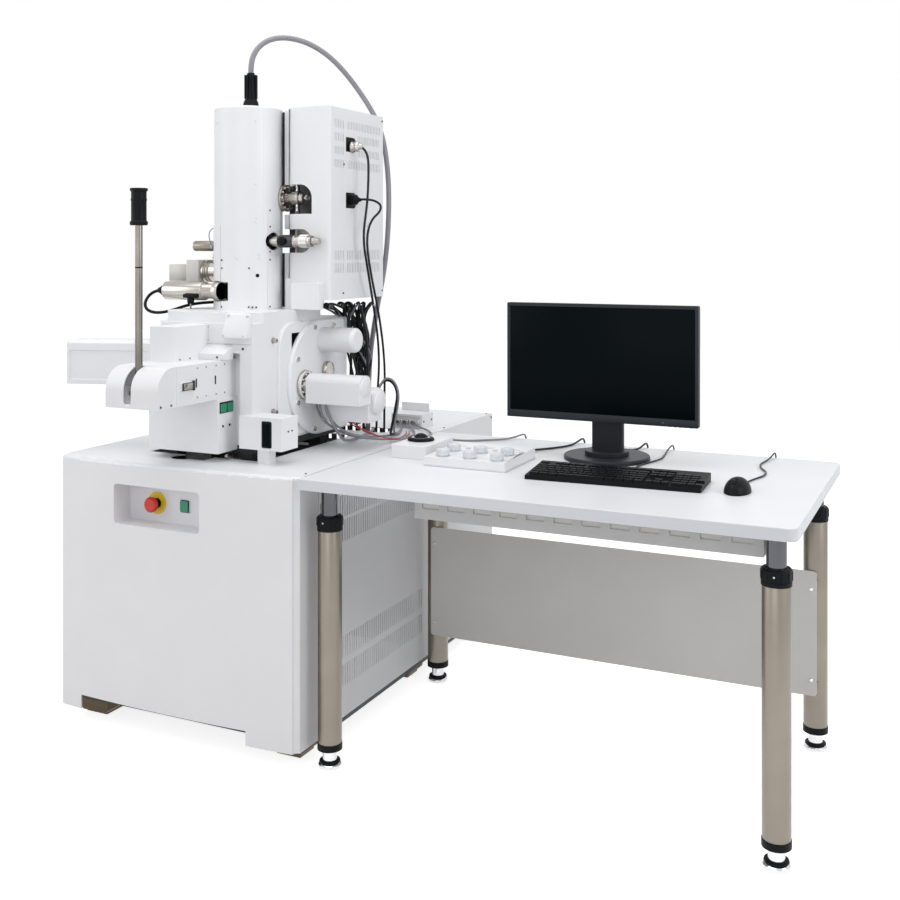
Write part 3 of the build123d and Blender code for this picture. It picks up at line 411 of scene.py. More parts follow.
# Hard chrome of the desk's lifting posts, its colour darkened as painted reflection of the dark underside
post_chrome_painted_reflection = partial(surface, "Hard_chrome_post_painted_reflection", "5C5E62", 0.14, 1.5, 0.002, metallic=1.0, mottle=0.2,
    stretch=(1, 1, 0.02), spread=0.04)
# Brushed stainless tube of the legs: long fine scratches up the tube, warm sheen
satin_tube = partial(surface, "Brushed_stainless_tube", "tube", 0.36, 0.7, 0.012, metallic=1.0, mottle=0.1,
    stretch=(1, 1, 0.03), spread=0.08)
# Bright chrome plate, nearly without texture
chrome = partial(surface, "Chrome_plate", "DADADC", 0.1, 3, 0.001, metallic=1.0, mottle=0.04, spread=0.03)
# Moulded black ABS with a fine spark texture; also a black disc as painted shade in a hole
black_plastic_and_hole_shade = partial(surface, "Moulded_ABS_black_and_hole_shade", "0D0F12", 0.45, 0.6, 0.02, mottle=0.2, ior=1.22)
# Rubber and cable jacket in black
black_rubber = partial(surface, "Moulded_rubber_black", "101113", 0.55, 0.9, 0.02, mottle=0.2, ior=1.25)
# High-pressure laminate: fine pearl texture
laminate = partial(surface, "Laminate_white", "laminate", 0.4, 1.0, 0.008, mottle=0.02)
# Plastic edge band round the desk top
edge_band = partial(surface, "Edge_band_grey", "D6D9DE", 0.4, 1.0, 0.008, mottle=0.02)
# Grey vinyl cable jacket
grey_sheath = partial(surface, "Vinyl_sheath_grey", "8B8A92", 0.45, 1.2, 0.02, mottle=0.08)
# Black vinyl cable jacket
black_sheath = partial(surface, "Vinyl_sheath_black", "16181B", 0.42, 1.2, 0.02, mottle=0.15, ior=1.35)
# Red lead insulation
red_sheath = partial(surface, "Vinyl_sheath_red", "A33A40", 0.45, 1.2, 0.02, mottle=0.1)
# Blue lead insulation
blue_sheath = partial(surface, "Vinyl_sheath_blue", "3F5FA8", 0.45, 1.2, 0.02, mottle=0.1)
# Glossy red button
red_button = partial(surface, "Moulded_ABS_red", "D0301F", 0.35, 0.8, 0.01, mottle=0.08)
# Glossy green button
green_button = partial(surface, "Moulded_ABS_green", "2C8A6A", 0.32, 0.8, 0.01, mottle=0.1)
# Yellow disc behind the stop button
yellow_disc = partial(surface, "Printed_plate_yellow", "EBC82C", 0.4, 0.8, 0.005, mottle=0.05)
# Pale grey moulded knob
grey_knob = partial(surface, "Moulded_ABS_pale_grey", "D2D7DC", 0.4, 0.6, 0.01, mottle=0.03)
# Slate plastic of the monitor
screen_case = partial(surface, "Moulded_ABS_slate", "24282E", 0.42, 0.6, 0.015, mottle=0.1, ior=1.3)
# Anti-glare film of the panel, switched off
screen_face = partial(surface, "Anti_glare_screen", "02090D", 0.3, 0.3, 0.002, mottle=0.1, ior=1.12)
# Cast and bead-blasted aluminium of the side fittings
grey_casting = partial(surface, "Bead_blasted_aluminium", "A8A8A4", 0.42, 0.5, 0.02, metallic=0.75,
    mottle=0.06)
# Blackened screws, and a black strip as painted shade in a gap
blackened_steel_and_gap_shade = partial(surface, "Blackened_steel_and_gap_shade", "4A4C50", 0.4, 0.6, 0.01, metallic=0.8, mottle=0.1)
# Bronze-brown plated steel of the console's feet
foot_steel = partial(surface, "Plated_steel_bronze", "5E513B", 0.4, 0.8, 0.02, metallic=0.6, mottle=0.2)


# Stage: camera, floor, world and lamps

CAMERA = (2318.7, -2381.3, 1303.4)
CAMERA_TURN = 25.2
CAMERA_SHIFT = (0.0022, -0.2224)
WORLD_LIGHT = 0.44
FLOOR_LIFT = 0.8
FLOOR_SIZE = 24
AIM = (900, 500, 700)
LAMPS = (
    ("Top_box", (700, 0, 3600), (3.2, 3.2), 56),
    ("Left_box", (-2600, -2200, 2200), (2.2, 2.6), 36),
    ("Front_box", (1500, -4200, 1900), (3.0, 2.4), 29),
    ("Right_box", (4600, -200, 2400), (2.0, 2.4), 52),
)


def add_camera(lens):
    camera = bpy.data.cameras.new("Camera")
    camera.lens = lens
    camera.sensor_width = 36
    camera.shift_x, camera.shift_y = CAMERA_SHIFT
    camera.clip_end = 60
    obj = bpy.data.objects.new("Camera", camera)
    obj.location = at(*CAMERA)
    obj.rotation_euler = (radians(90), 0, radians(CAMERA_TURN))
    bpy.context.scene.collection.objects.link(obj)
    bpy.context.scene.camera = obj


def seen(tree):
    """1 for camera, glossy and transmission rays, which see the white background."""
    path = add(tree, "ShaderNodeLightPath")
    first = add(tree, "ShaderNodeMath", links={0: path.outputs["Is Camera Ray"],
        1: path.outputs["Is Glossy Ray"]}, operation="MAXIMUM")
    return add(tree, "ShaderNodeMath", links={0: first.outputs[0], 1: path.outputs["Is Transmission Ray"]},
        operation="MAXIMUM").outputs[0]


def white_world(strength):
    world = bpy.data.worlds.new("Studio")
    bpy.context.scene.world = world
    world.use_nodes = True
    tree = world.node_tree
    tree.nodes.clear()
    soft = add(tree, "ShaderNodeBackground", {"Color": (1, 1, 1, 1), "Strength": strength})
    white = add(tree, "ShaderNodeBackground", {"Color": (1, 1, 1, 1), "Strength": 1.0})
    mix = add(tree, "ShaderNodeMixShader", links={0: seen(tree), 1: soft.outputs[0], 2: white.outputs[0]})
    add(tree, "ShaderNodeOutputWorld", links={"Surface": mix.outputs[0]})


def white_floor():
    """Floor that is white to the eye and keeps the soft shadow of what stands on it."""
    material = bpy.data.materials.new("Studio_floor")
    material.use_nodes = True
    tree = material.node_tree
    tree.nodes.clear()
    plain = add(tree, "ShaderNodeBsdfDiffuse", {"Color": linear(bpy.context.scene.microscope_colours.floor)})
    lift = add(tree, "ShaderNodeMath", {1: FLOOR_LIFT}, {0: seen(tree)}, operation="MULTIPLY")
    glow = add(tree, "ShaderNodeEmission", {"Color": (1, 1, 1, 1)}, {"Strength": lift.outputs[0]})
    both = add(tree, "ShaderNodeAddShader", links={0: plain.outputs[0], 1: glow.outputs[0]})
    add(tree, "ShaderNodeOutputMaterial", links={"Surface": both.outputs[0]})
    return material


def lamp(name, place, target, size, power):
    """Square soft box aimed from one point at another, in millimetres."""
    light = bpy.data.lights.new(name, "AREA")
    light.shape = "RECTANGLE"
    light.size, light.size_y = size
    light.energy = power
    obj = bpy.data.objects.new(name, light)
    obj.location = at(*place)
    obj.rotation_euler = (at(*target) - at(*place)).to_track_quat("-Z", "Y").to_euler()
    bpy.context.scene.collection.objects.link(obj)


class MICROSCOPE_OT_stage(bpy.types.Operator):
    """Camera, white floor, world and soft boxes"""
    bl_idname = "microscope.stage"
    bl_label = "Stage"

    def execute(self, context):
        add_camera(context.scene.microscope_sizes.lens)
        white_world(WORLD_LIGHT)
        clear()
        bpy.ops.mesh.primitive_grid_add(x_subdivisions=2, y_subdivisions=2, size=FLOOR_SIZE,
            location=(0, 0, 0))
        floor = settle(bpy.context.object)
        floor.name = "Floor"
        floor.data.materials.append(white_floor())
        for name, place, size, power in LAMPS:
            lamp(name, place, AIM, size, power)
        bpy.context.scene.view_settings.view_transform = "Standard"
        return {"FINISHED"}


# Console

def hexagon_screws(places, direction, radius=5):
    """Hexagon head screws with a washer, in millimetres."""
    start = places[0]
    washer = turned(start, direction, [(-0.4, radius * 1.5), (1.2, radius * 1.5)], 20)
    head = turned(start, direction, [(1, radius), (4.6, radius), (5.4, radius * 0.8)], 6)
    return copies(joined(washer, head), [Vector(p) - Vector(start) for p in places])


class MICROSCOPE_OT_console(bpy.types.Operator):
    """Moulded front cover, folded side covers with louvres, top and rear covers"""
    bl_idname = "microscope.console"
    bl_label = "Console covers"

    def execute(self, context):
        sizes = context.scene.microscope_sizes
        dressed("front_cover", moulded_white(), 0, angle=30)
        for name in ("left_cover", "right_cover", "rear_cover", "top_cover"):
            dressed(name, powder_coat(), 0)
        x = CONSOLE_W
        for name, face, way in (("right", x, 1), ("left", 0, -1)):
            places = [(face, y, z) for y in (112, 1236) for z in COVER_ROWS]
            done(screws(places, (way, 0, 0)), name + "_cover_screws", blackened_steel_and_gap_shade())
        places = [(px, 1246, z) for px in (14, CONSOLE_W - 14) for z in COVER_ROWS]
        done(screws(places, (0, 1, 0)), "rear_cover_screws", blackened_steel_and_gap_shade())
        fold = slab((x - 26, 43, CONSOLE_TOP), (x - 24.6, 1244, CONSOLE_TOP + 0.7), 0)
        done(fold, "top_cover_fold", powder_coat())
        done(screws([(x - 12, y, CONSOLE_TOP) for y in (60, 880, 1222)], (0, 0, 1), 3), "top_cover_screws",
            blackened_steel_and_gap_shade())
        # The frame and rack inside the covers take the dark coat as painted shade
        for name in ("base_frame", "electronics_rack"):
            dressed(name, inner_shade_coat(), sizes.edge / MM)
        dressed("turbo_pump", stainless(), 0.8)
        dressed("isolation_plate", black_plate(), 0.8)
        dressed("console_feet", foot_steel(), 1.2)
        return {"FINISHED"}


class MICROSCOPE_OT_switches(bpy.types.Operator):
    """Recess of the console with the emergency stop and the power switch"""
    bl_idname = "microscope.switches"
    bl_label = "Switch panel"

    def execute(self, context):
        low, high = mm("switch_panel")
        dressed("switch_panel", moulded_white(), 0)
        face = high.y - 3
        # Black strip along the inner panel's left edge: painted shade in the gap beside the panel
        gap = slab((low.x - 0.6, face - 0.5, low.z + 3), (low.x + 1.2, face + 0.2, high.z - 3), 0)
        done(gap, "switch_panel_gap_shade", blackened_steel_and_gap_shade())
        head_low, head_high = mm("estop_button")
        x, z = (head_low.x + head_high.x) / 2, (head_low.z + head_high.z) / 2
        disc = turned((x, face, z), (0, -1, 0), [(1.5, 12), (1.5, 30.4), (2.1, 30.4), (2.1, 12)], 48)
        done(disc, "stop_disc", yellow_disc())
        collar = turned((x, face, z), (0, -1, 0), [(2.1, 13.5), (12, 13.5), (12, 10.6), (2.1, 10.6)], 32)
        done(collar, "stop_collar", black_plastic_and_hole_shade())
        dressed("estop_button", red_button(), 1.2, 3)
        grip = turned((x, head_low.y + 4, z + 20), (0, 1, 0), [(0, 1.2), (9, 1.2)], 8)
        ring = [(across, 0, up - 20) for across, up in circle(24, 19.6)]
        done(copies(grip, ring), "stop_grip", red_button(), "estop")
        low, high = mm("main_switch")
        x, z = (low.x + high.x) / 2, (low.z + high.z) / 2
        frame_ring = slab((x - 15, face - 4, z - 17.4), (x + 15, face - 0.2, z + 17), 3, 4)
        hole = slab((low.x - 0.5, face - 12, low.z - 0.5), (high.x + 0.5, face + 6, high.z + 0.5), 0)
        done(cut(frame_ring, hole), "power_bezel", black_plastic_and_hole_shade())
        dressed("main_switch", green_button(), 1, 3)
        return {"FINISHED"}


# Column

def on_column(angle, z, radius=None):
    """Point on the column's cover at an angle from the front, in millimetres."""
    r = COLUMN_R if radius is None else radius
    return (COLUMN_X + r * sin(radians(angle)), COLUMN_Y - r * cos(radians(angle)), z)


def shell(a0, a1, z0, z1, r0, r1, steps=24):
    """Curved sheet round the column between two angles, spun from its first edge."""
    start, turn = radians(a0), radians(a1 - a0)
    clear()
    bpy.ops.mesh.primitive_plane_add(size=1)
    obj = bpy.context.object
    across = Vector((sin(start), -cos(start), 0))
    centre = at(COLUMN_X, COLUMN_Y, 0)
    corners = [(r0, z0), (r1, z0), (r0, z1), (r1, z1)]
    for vertex, (r, z) in zip(sorted(obj.data.vertices, key=lambda v: (v.co.y, v.co.x)), corners):
        vertex.co = centre + across * r * MM + Vector((0, 0, z * MM))
    obj.location = (0, 0, 0)
    bpy.ops.object.mode_set(mode="EDIT")
    bpy.ops.mesh.select_all(action="SELECT")
    bpy.ops.mesh.spin(steps=steps, angle=turn, center=centre, axis=(0, 0, 1))
    bpy.ops.mesh.select_all(action="SELECT")
    bpy.ops.mesh.remove_doubles(threshold=0.00001)
    bpy.ops.mesh.normals_make_consistent(inside=False)
    bpy.ops.object.mode_set(mode="OBJECT")
    return obj


class MICROSCOPE_OT_column(bpy.types.Operator):
    """Column cover with its access panel, strips, screws and the high-voltage gland"""
    bl_idname = "microscope.column"
    bl_label = "Column"

    def execute(self, context):
        dressed("column_cover", powder_coat(), 1.2, 3)
        dressed("electron_column", stainless(), 0.6)
        top, r = COLUMN_HIGH.z, COLUMN_R
        for name, angle in (("seam_left", -41), ("seam_right", 61)):
            done(shell(angle, angle + 0.9, 1376, top - 6, r - 0.5, r + 0.5, 2), name, moulded_white())
        heads = [screws([on_column(a, z, COLUMN_SHEET)], (sin(radians(a)), -cos(radians(a)), 0), 2.6,
            1.4) for a, z in ((-14, 1274), (-13, 1251), (35.7, 1251), (-14, 1140), (35.2, 1140), (41.2, 1139),
            (47.3, 1139), (71.8, 1417), (71.8, 1370), (71.8, 1347), (71.8, 1298), (71.8, 1275), (71.8, 1140))]
        done(joined(*heads), "column_screws", blackened_steel_and_gap_shade())
        caps = []
        for a, z, size in ((47.3, 1672, 4), (47.3, 1492, 4), (47.3, 1395, 4), (47.3, 1383, 3.4),
            (52, 1291, 3.6), (52, 1279, 3.6), (15.7, 1279.8, 5), (-30, 1672, 4)):
            caps.append(turned(on_column(a, z, r), (sin(radians(a)), -cos(radians(a)), 0),
                [(-1, size), (0.9, size), (1.5, size * 0.7)], 20))
        done(joined(*caps), "column_caps", moulded_white())
        # Black disc on the column cover: painted shade inside a hole
        a = radians(49.7)
        hole = turned(on_column(49.7, 1229.7, r), (sin(a), -cos(a), 0), [(-1, 5.4), (0.5, 5.4)], 24)
        done(hole, "column_hole_shade", black_plastic_and_hole_shade())
        gx = (mm("hv_gland")[0].x + mm("hv_gland")[1].x) / 2
        z = mm("hv_gland")[0].z
        body = turned((gx, COLUMN_Y, z), (0, 0, 1), [(0, 30), (6, 30), (6, 24), (22, 21), (24, 19),
            (28, 18.6), (28, 16.5), (96, 12.4), (98, 11), (106, 11), (106, 9.4)], 40)
        body = bevel(body, 0.8 * MM)
        rib = slab((gx - 1.6, COLUMN_Y - 19.5, z + 30), (gx + 1.6, COLUMN_Y + 19.5, z + 100), 0.6)
        ribs = turned_copies(rib, gx, COLUMN_Y, (0, 45, 90, 135))
        gland = done(joined(body, *ribs), "voltage_gland", black_plastic_and_hole_shade())
        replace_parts(gland, "hv_gland")
        ears = [slab((gx + dx - 5, COLUMN_Y + dy - 5, z), (gx + dx + 5, COLUMN_Y + dy + 5, z + 5),
            1.5) for dx, dy in ((-26, -14), (26, -14), (-26, 14), (26, 14))]
        done(joined(*ears), "gland_ears", black_plastic_and_hole_shade())
        done(screws([(gx + dx, COLUMN_Y + dy, z + 5) for dx, dy in ((-27, -15), (27, -15), (-27, 15),
            (27, 15))], (0, 0, 1), 3), "gland_screws", stainless())
        lid = turned((COLUMN_X, COLUMN_Y, top), (0, 0, 1), [(-0.5, r - 16), (0.8, r - 16), (0.8, r - 22)], 64)
        done(lid, "column_lid", powder_coat())
        return {"FINISHED"}


# Pump housing and its valves

class MICROSCOPE_OT_pumps(bpy.types.Operator):
    """Housing of the ion pumps, its pumping ports, valves and connectors"""
    bl_idname = "microscope.pumps"
    bl_label = "Pump housing"

    def execute(self, context):
        dressed("pump_cover", powder_coat(), 0)
        dressed("ion_pumps", stainless(), 0.8)
        side = PUMP_HIGH.x
        top = PUMP_HIGH.z
        strips, backs = [], []
        for z0, z1 in ((PUMP_LOW.z + 4, 1294), (1364, 1406), (1493, top - 4)):
            strips.append(slab((481, 401, z0), (501, 404, z1), 0.6))
        done(joined(*strips), "housing_return", powder_coat())
        # Dark plates behind the housing's gaps: painted shade in the gaps
        for z0, z1, y in ((PUMP_LOW.z + 4, 1294, 412), (1294, 1493, 450), (1493, top - 6, 412)):
            backs.append(slab((466, y, z0), (500, y + 3, z1), 0))
        done(joined(*backs), "housing_gap_shade_plate", inner_shade_coat())
        seam = slab((side - 0.3, 461.5, PUMP_LOW.z + 46), (side + 0.5, 463, top - 2), 0)
        done(seam, "pump_cover_seam", powder_coat())
        done(screws([(side, 452, 1552), (side, 448, 1178), (side, 684, 1178), (side, 684, 1700)], (1, 0, 0),
            3), "pump_cover_screws", blackened_steel_and_gap_shade())
        high, low = UPPER_VALVE_Z, LOWER_VALVE_Z
        flange = turned((COLUMN_X + 84, 410, high), (1, 0, 0), [(0, 40), (11, 40), (11, 37), (13, 37),
            (13, 40), (24, 40), (24, 17.6)], 48)
        done(bevel(flange, 0.7 * MM), "upper_flange", stainless())
        bolts = [(COLUMN_X + 108, 410 + across, high + up) for across, up in circle(12, 33)]
        done(hexagon_screws(bolts, (1, 0, 0), 3.4), "upper_flange_bolts", stainless())
        band = turned((0, 410, high), (1, 0, 0), [(488, 17.4), (488, 19.5), (494, 19.5), (494, 17.4)], 40)
        ring = turned((0, 410, high), (1, 0, 0), [(522, 17.4), (522, 21), (530, 21), (530, 17.4)], 40)
        done(joined(band, ring), "upper_valve_rings", stainless())
        pins = [turned((518, 410, high), (0, 0, s), [(16, 4), (26, 4), (26, 2.5), (34, 2.5), (34, 5), (38, 5),
            (40, 3)], 16) for s in (1, -1)]
        done(joined(*pins), "upper_valve_bolts", chrome())
        cap = turned((530.3, 410, high), (1, 0, 0), [(0, 17), (7, 17), (9, 15), (12, 15), (14, 11), (16, 9),
            (16, 6.5), (25, 6.5), (26, 4)], 40)
        cap = bevel(cap, 0.6 * MM)
        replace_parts(done(cap, "upper_valve_cap", stainless(), "upper_valve"), "upper_valve_knob")
        nut = turned((556, 410, high), (1, 0, 0), [(-6, 8.5), (0, 8.5), (0.6, 7.5)], 6)
        done(nut, "upper_valve_nut", chrome(), "upper_valve")
        y = mm("lower_valve_knob")[1].y + 15.8
        block = turned((0, y, low), (1, 0, 0), [(498, 15), (498, 18.5), (546, 18.5), (546, 16.3)], 8)
        done(bevel(block, 1 * MM), "lower_valve_body", blackened_steel_and_gap_shade())
        knob = turned((520, y - 15.8, low), (0, -1, 0), [(0, 9), (1, 13.6), (13, 13.6), (15, 12)], 8)
        knob = bevel(knob, 1.2 * MM)
        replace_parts(done(knob, "lower_valve_grip", black_plastic_and_hole_shade(), "lower_valve"), "lower_valve_knob")
        barrel = turned((0, y, low), (1, 0, 0), [(546, 15.8), (550, 17.5), (552, 15.8), (566, 15.8),
            (567, 17.5), (600, 17.5), (602, 15), (608, 15), (608, 11), (622, 11), (624, 9.2), (631, 9.2),
            (632, 7)], 40)
        done(barrel, "lower_valve_barrel", stainless())
        knurl = turned((0, y - 17.4, low), (1, 0, 0), [(570, 0.9), (596, 0.9)], 6)
        ribs = [(0, 17.4 - ahead, up) for up, ahead in circle(28, 17.4)]
        done(copies(knurl, ribs), "lower_valve_knurl", chrome())
        for number, (z, size) in enumerate(((1611.5, 21), (1448, 22.5)), 1):
            back = slab((side - 3.5, 464.5, z - size), (side - 0.5, 521.5, z + size), 0)
            done(back, f"socket_{number}", black_plastic_and_hole_shade())
        plug = turned((side, 492, 1606), (0.9, 0.25, 0), [(0, 15), (7, 15), (7, 12), (13, 12), (13, 15.5),
            (24, 15.5), (26, 11), (36, 7), (36, 4)], 32)
        done(bevel(plug, 0.5 * MM), "connector_shell", stainless())
        grip = turned((side, 494, 1450), (1, 0, 0), [(0, 16), (18, 15), (24, 8), (34, 4)], 24)
        done(grip, "socket_grip", black_plastic_and_hole_shade())
        return {"FINISHED"}


# Chamber, stage door and drives

class MICROSCOPE_OT_chamber(bpy.types.Operator):
    """Specimen chamber with its stage door, motor housings and bolts"""
    bl_idname = "microscope.chamber"
    bl_label = "Chamber"

    def execute(self, context):
        dressed("chamber", powder_coat(), 2.2, 3)
        dressed("stage_door", powder_coat(), 1.4, 3)
        door = mm("stage_drives")[0].x
        sockets = [turned((548, 240, z), (1, 0, 0), [(-1, 9), (3, 9), (3, 6.6), (13, 6.6), (14, 5.6),
            (14, 3.4), (8, 3.2)], 24) for z in (1052, 854)]
        done(joined(*sockets), "chamber_corner_bolts", stainless())
        places = [(door + 5, y, z) for y, z in ((329, 993), (329, 870), (418, 1079), (523, 1079), (418, 784),
            (523, 784))]
        done(screws(places, (1, 0, 0), 7.2, 2.4), "door_bolts", stainless())
        ledge = slab((404, 139.6, 1045.6), (546, 143, 1048), 0.4)
        done(ledge, "chamber_front_seam", grey_coat_and_slot_light())
        seam = slab((396, 141.4, 1048), (397, 143, 1102), 0)
        done(seam, "chamber_cover_seam", grey_coat_and_slot_light())
        nose = shaped((455, 124, 1062), (543, 149, 1131), {(0, 0, 1): (10, 15, 0), (1, 0, 1): (1, 15, 0),
            (0, 1, 1): (10, 0, 0), (1, 1, 1): (1, 0, 0), (0, 0, 0): (4, -3, 2), (1, 0, 0): (-4, -3, 2)}, 7, 4)
        done(nose, "detector_port_cover", powder_coat())
        done(screws([(466, 124.5, 1070), (531, 124.5, 1070), (474, 137.5, 1124), (536, 137.5, 1124)],
            (0, -1, 0.24), 4, 3), "detector_port_bolts", stainless())
        done(screws([(400, 142, 1092), (400, 142, 1056)], (0, -1, 0), 4, 2.4), "cover_bolts", stainless())
        done(screws([(470, 142, 1035), (518, 142, 1035)], (0, -1, 0), 3.4), "ledge_screws", blackened_steel_and_gap_shade())
        y, z = COLUMN_Y + 1, STAGE_Z
        rim = turned((door, y, z), (1, 0, 0), [(0, 42), (6, 42), (7, 40), (7, 36), (12, 35), (14.6, 40.6),
            (15.4, 31), (15.4, 30), (26, 30)], 48)
        done(bevel(rim, 0.6 * MM), "drive_flange", stainless())
        spots = [(door + 14, y + across, z + up) for across, up in circle(12, 35)]
        done(hexagon_screws(spots, (1, 0, 0), 3), "drive_flange_bolts", chrome())
        dressed("stage_drives", moulded_white(), 2.4, 4)
        main_cap = turned((door + 199, y, z + 3), (1, 0, 0), [(0, 28), (2.4, 28), (4.4, 26)], 48)
        low_cap = turned((door + 205, y + 74, z - 45), (1, 0, 0), [(0, 31), (2.4, 31), (4.4, 29)], 48)
        done(joined(main_cap, low_cap), "drive_caps", moulded_white(), angle=50)
        cap = turned((door, y + 120, z + 30), (1, 0, 0), [(0, 27), (10, 27), (13, 25), (15, 18)], 40)
        done(bevel(cap, 0.8 * MM), "door_gauge", stainless())
        return {"FINISHED"}


# Airlock with its exchange rod and switch box

class MICROSCOPE_OT_airlock(bpy.types.Operator):
    """Specimen airlock, rod guard, exchange rod and the switch box below"""
    bl_idname = "microscope.airlock"
    bl_label = "Airlock"

    def execute(self, context):
        dressed("airlock_body", powder_coat(), 1)
        dressed("rod_guard", moulded_white(), 0.8)
        side = AIRLOCK_SIDE
        spots = [(side + 1.2, y, z) for y in (-1, 36, 79, 116) for z in (919, 995)]
        done(screws(spots, (1, 0, 0), 2.4, 1.2), "airlock_plate_screws", stainless())
        grips = [slab((side + 0.6, y, 945), (side + 1.8, y + 5, 968), 0) for y in (-7.5, 73.5)]
        done(joined(*grips), "plate_grips", black_plastic_and_hole_shade())
        rim = slab((side + 6, -71, 942), (side + 9, -18, 963), 1.6)
        clip = slab((side + 4, -27, 940), (side + 12, -22, 966), 1.2)
        done(joined(rim, clip), "latch_frame", blackened_steel_and_gap_shade())
        lever = slab((side + 8, -64, 944), (side + 10.6, -29, 961), 1.2)
        done(joined(lever, slab((side + 0.5, -22, 945), (side + 3, -10, 960), 0.8)), "latch_lever",
            stainless())
        seam = slab((side - 0.2, -84.4, 906), (side + 0.3, -83.6, 1005), 0)
        done(seam, "airlock_seam", grey_coat_and_slot_light())
        ledge = shaped((403, 100, 1006), (486, 143, 1047), {(0, 0, 1): (0, 0, -24), (1, 0, 1): (0, 0, -24)},
            1)
        done(ledge, "airlock_ledge", powder_coat())
        done(screws([(464, 100, 1014)], (0, -1, 0), 3, 1.4), "ledge_screw", blackened_steel_and_gap_shade())
        face = mm("rod_guard")[1].x
        done(screws([(face, -145, 910), (face, -105, 910)], (1, 0, 0), 2.8), "guard_screws",
            blackened_steel_and_gap_shade())
        done(screws([(403, 20, 1012), (403, 62, 1012)], (1, 0, 0), 2.4, 1.2), "raised_block_screws",
            blackened_steel_and_gap_shade())
        rod_low, rod_high = mm("exchange_rod")
        x, y = COLUMN_X, (rod_low.y + rod_high.y) / 2
        top = rod_high.z
        tube = turned((x, y, 0), (0, 0, 1), [(935, 9.6), (1257, 9.6), (1257, 8.8), (1260, 8.8), (1260, 9.6),
            (top - 93, 9.6), (top - 93, 7)], 40)
        axle = turned((0, y, 935), (1, 0, 0), [(x - 38, 6), (x - 18, 6), (x - 18, 13), (x + 18, 13),
            (x + 18, 6), (x + 38, 6)], 32)
        tube = done(joined(tube, bevel(axle, 0.6 * MM)), "rod_tube", rod_steel_painted_reflection(), "rod")
        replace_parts(tube, "exchange_rod")
        ring = turned((x, y, 1256.6), (0, 0, 1), [(0, 9.7), (3.6, 9.7)], 40)
        done(ring, "rod_mark", black_plastic_and_hole_shade(), "rod")
        profile = [(0, 10), (0, 21), (3, 22.6), (9, 22.6), (12, 20), (13, 19.4), (62, 19.4), (64, 20.4),
            (67, 20.4), (69, 19.4), (86, 19.4), (88, 22), (93, 22.6), (95, 21.6), (95, 16), (93, 14)]
        grip = turned((x, y, top - 95), (0, 0, 1), profile, 48)
        done(grip, "rod_grip", black_plastic_and_hole_shade(), "rod")
        dressed("airlock_switch_box", powder_coat(), 1.6, 3)
        right = mm("airlock_switch_box")[1].x
        for name in ("vent_button", "evac_button"):
            dressed(name, green_button(), 1.2, 3)
        for i, button in enumerate(("vent_button", "evac_button")):
            b_low, b_high = mm(button)
            frame_ring = slab((right - 1, b_low.y - 1.5, b_low.z - 2),
                (right + 2.4, b_high.y + 1.5, b_high.z + 4), 3, 3)
            hole = slab((right - 6, b_low.y - 0.5, b_low.z - 0.5),
                (right + 6, b_high.y + 0.5, b_high.z + 0.5), 0)
            done(cut(frame_ring, hole), f"button_bezel_{i + 1}", black_plastic_and_hole_shade())
            lamp_y = (b_low.y + b_high.y) / 2
            done(turned((right, lamp_y, 829), (1, 0, 0), [(-1, 3.4), (1, 3.4), (2.4, 2)], 20),
                f"lamp_{i + 1}", black_plastic_and_hole_shade())
        done(screws([(right - 60, 82, 893)], (0, -1, 0), 2.6), "switch_box_screw", stainless())
        return {"FINISHED"}


# Detectors and small boxes on the console

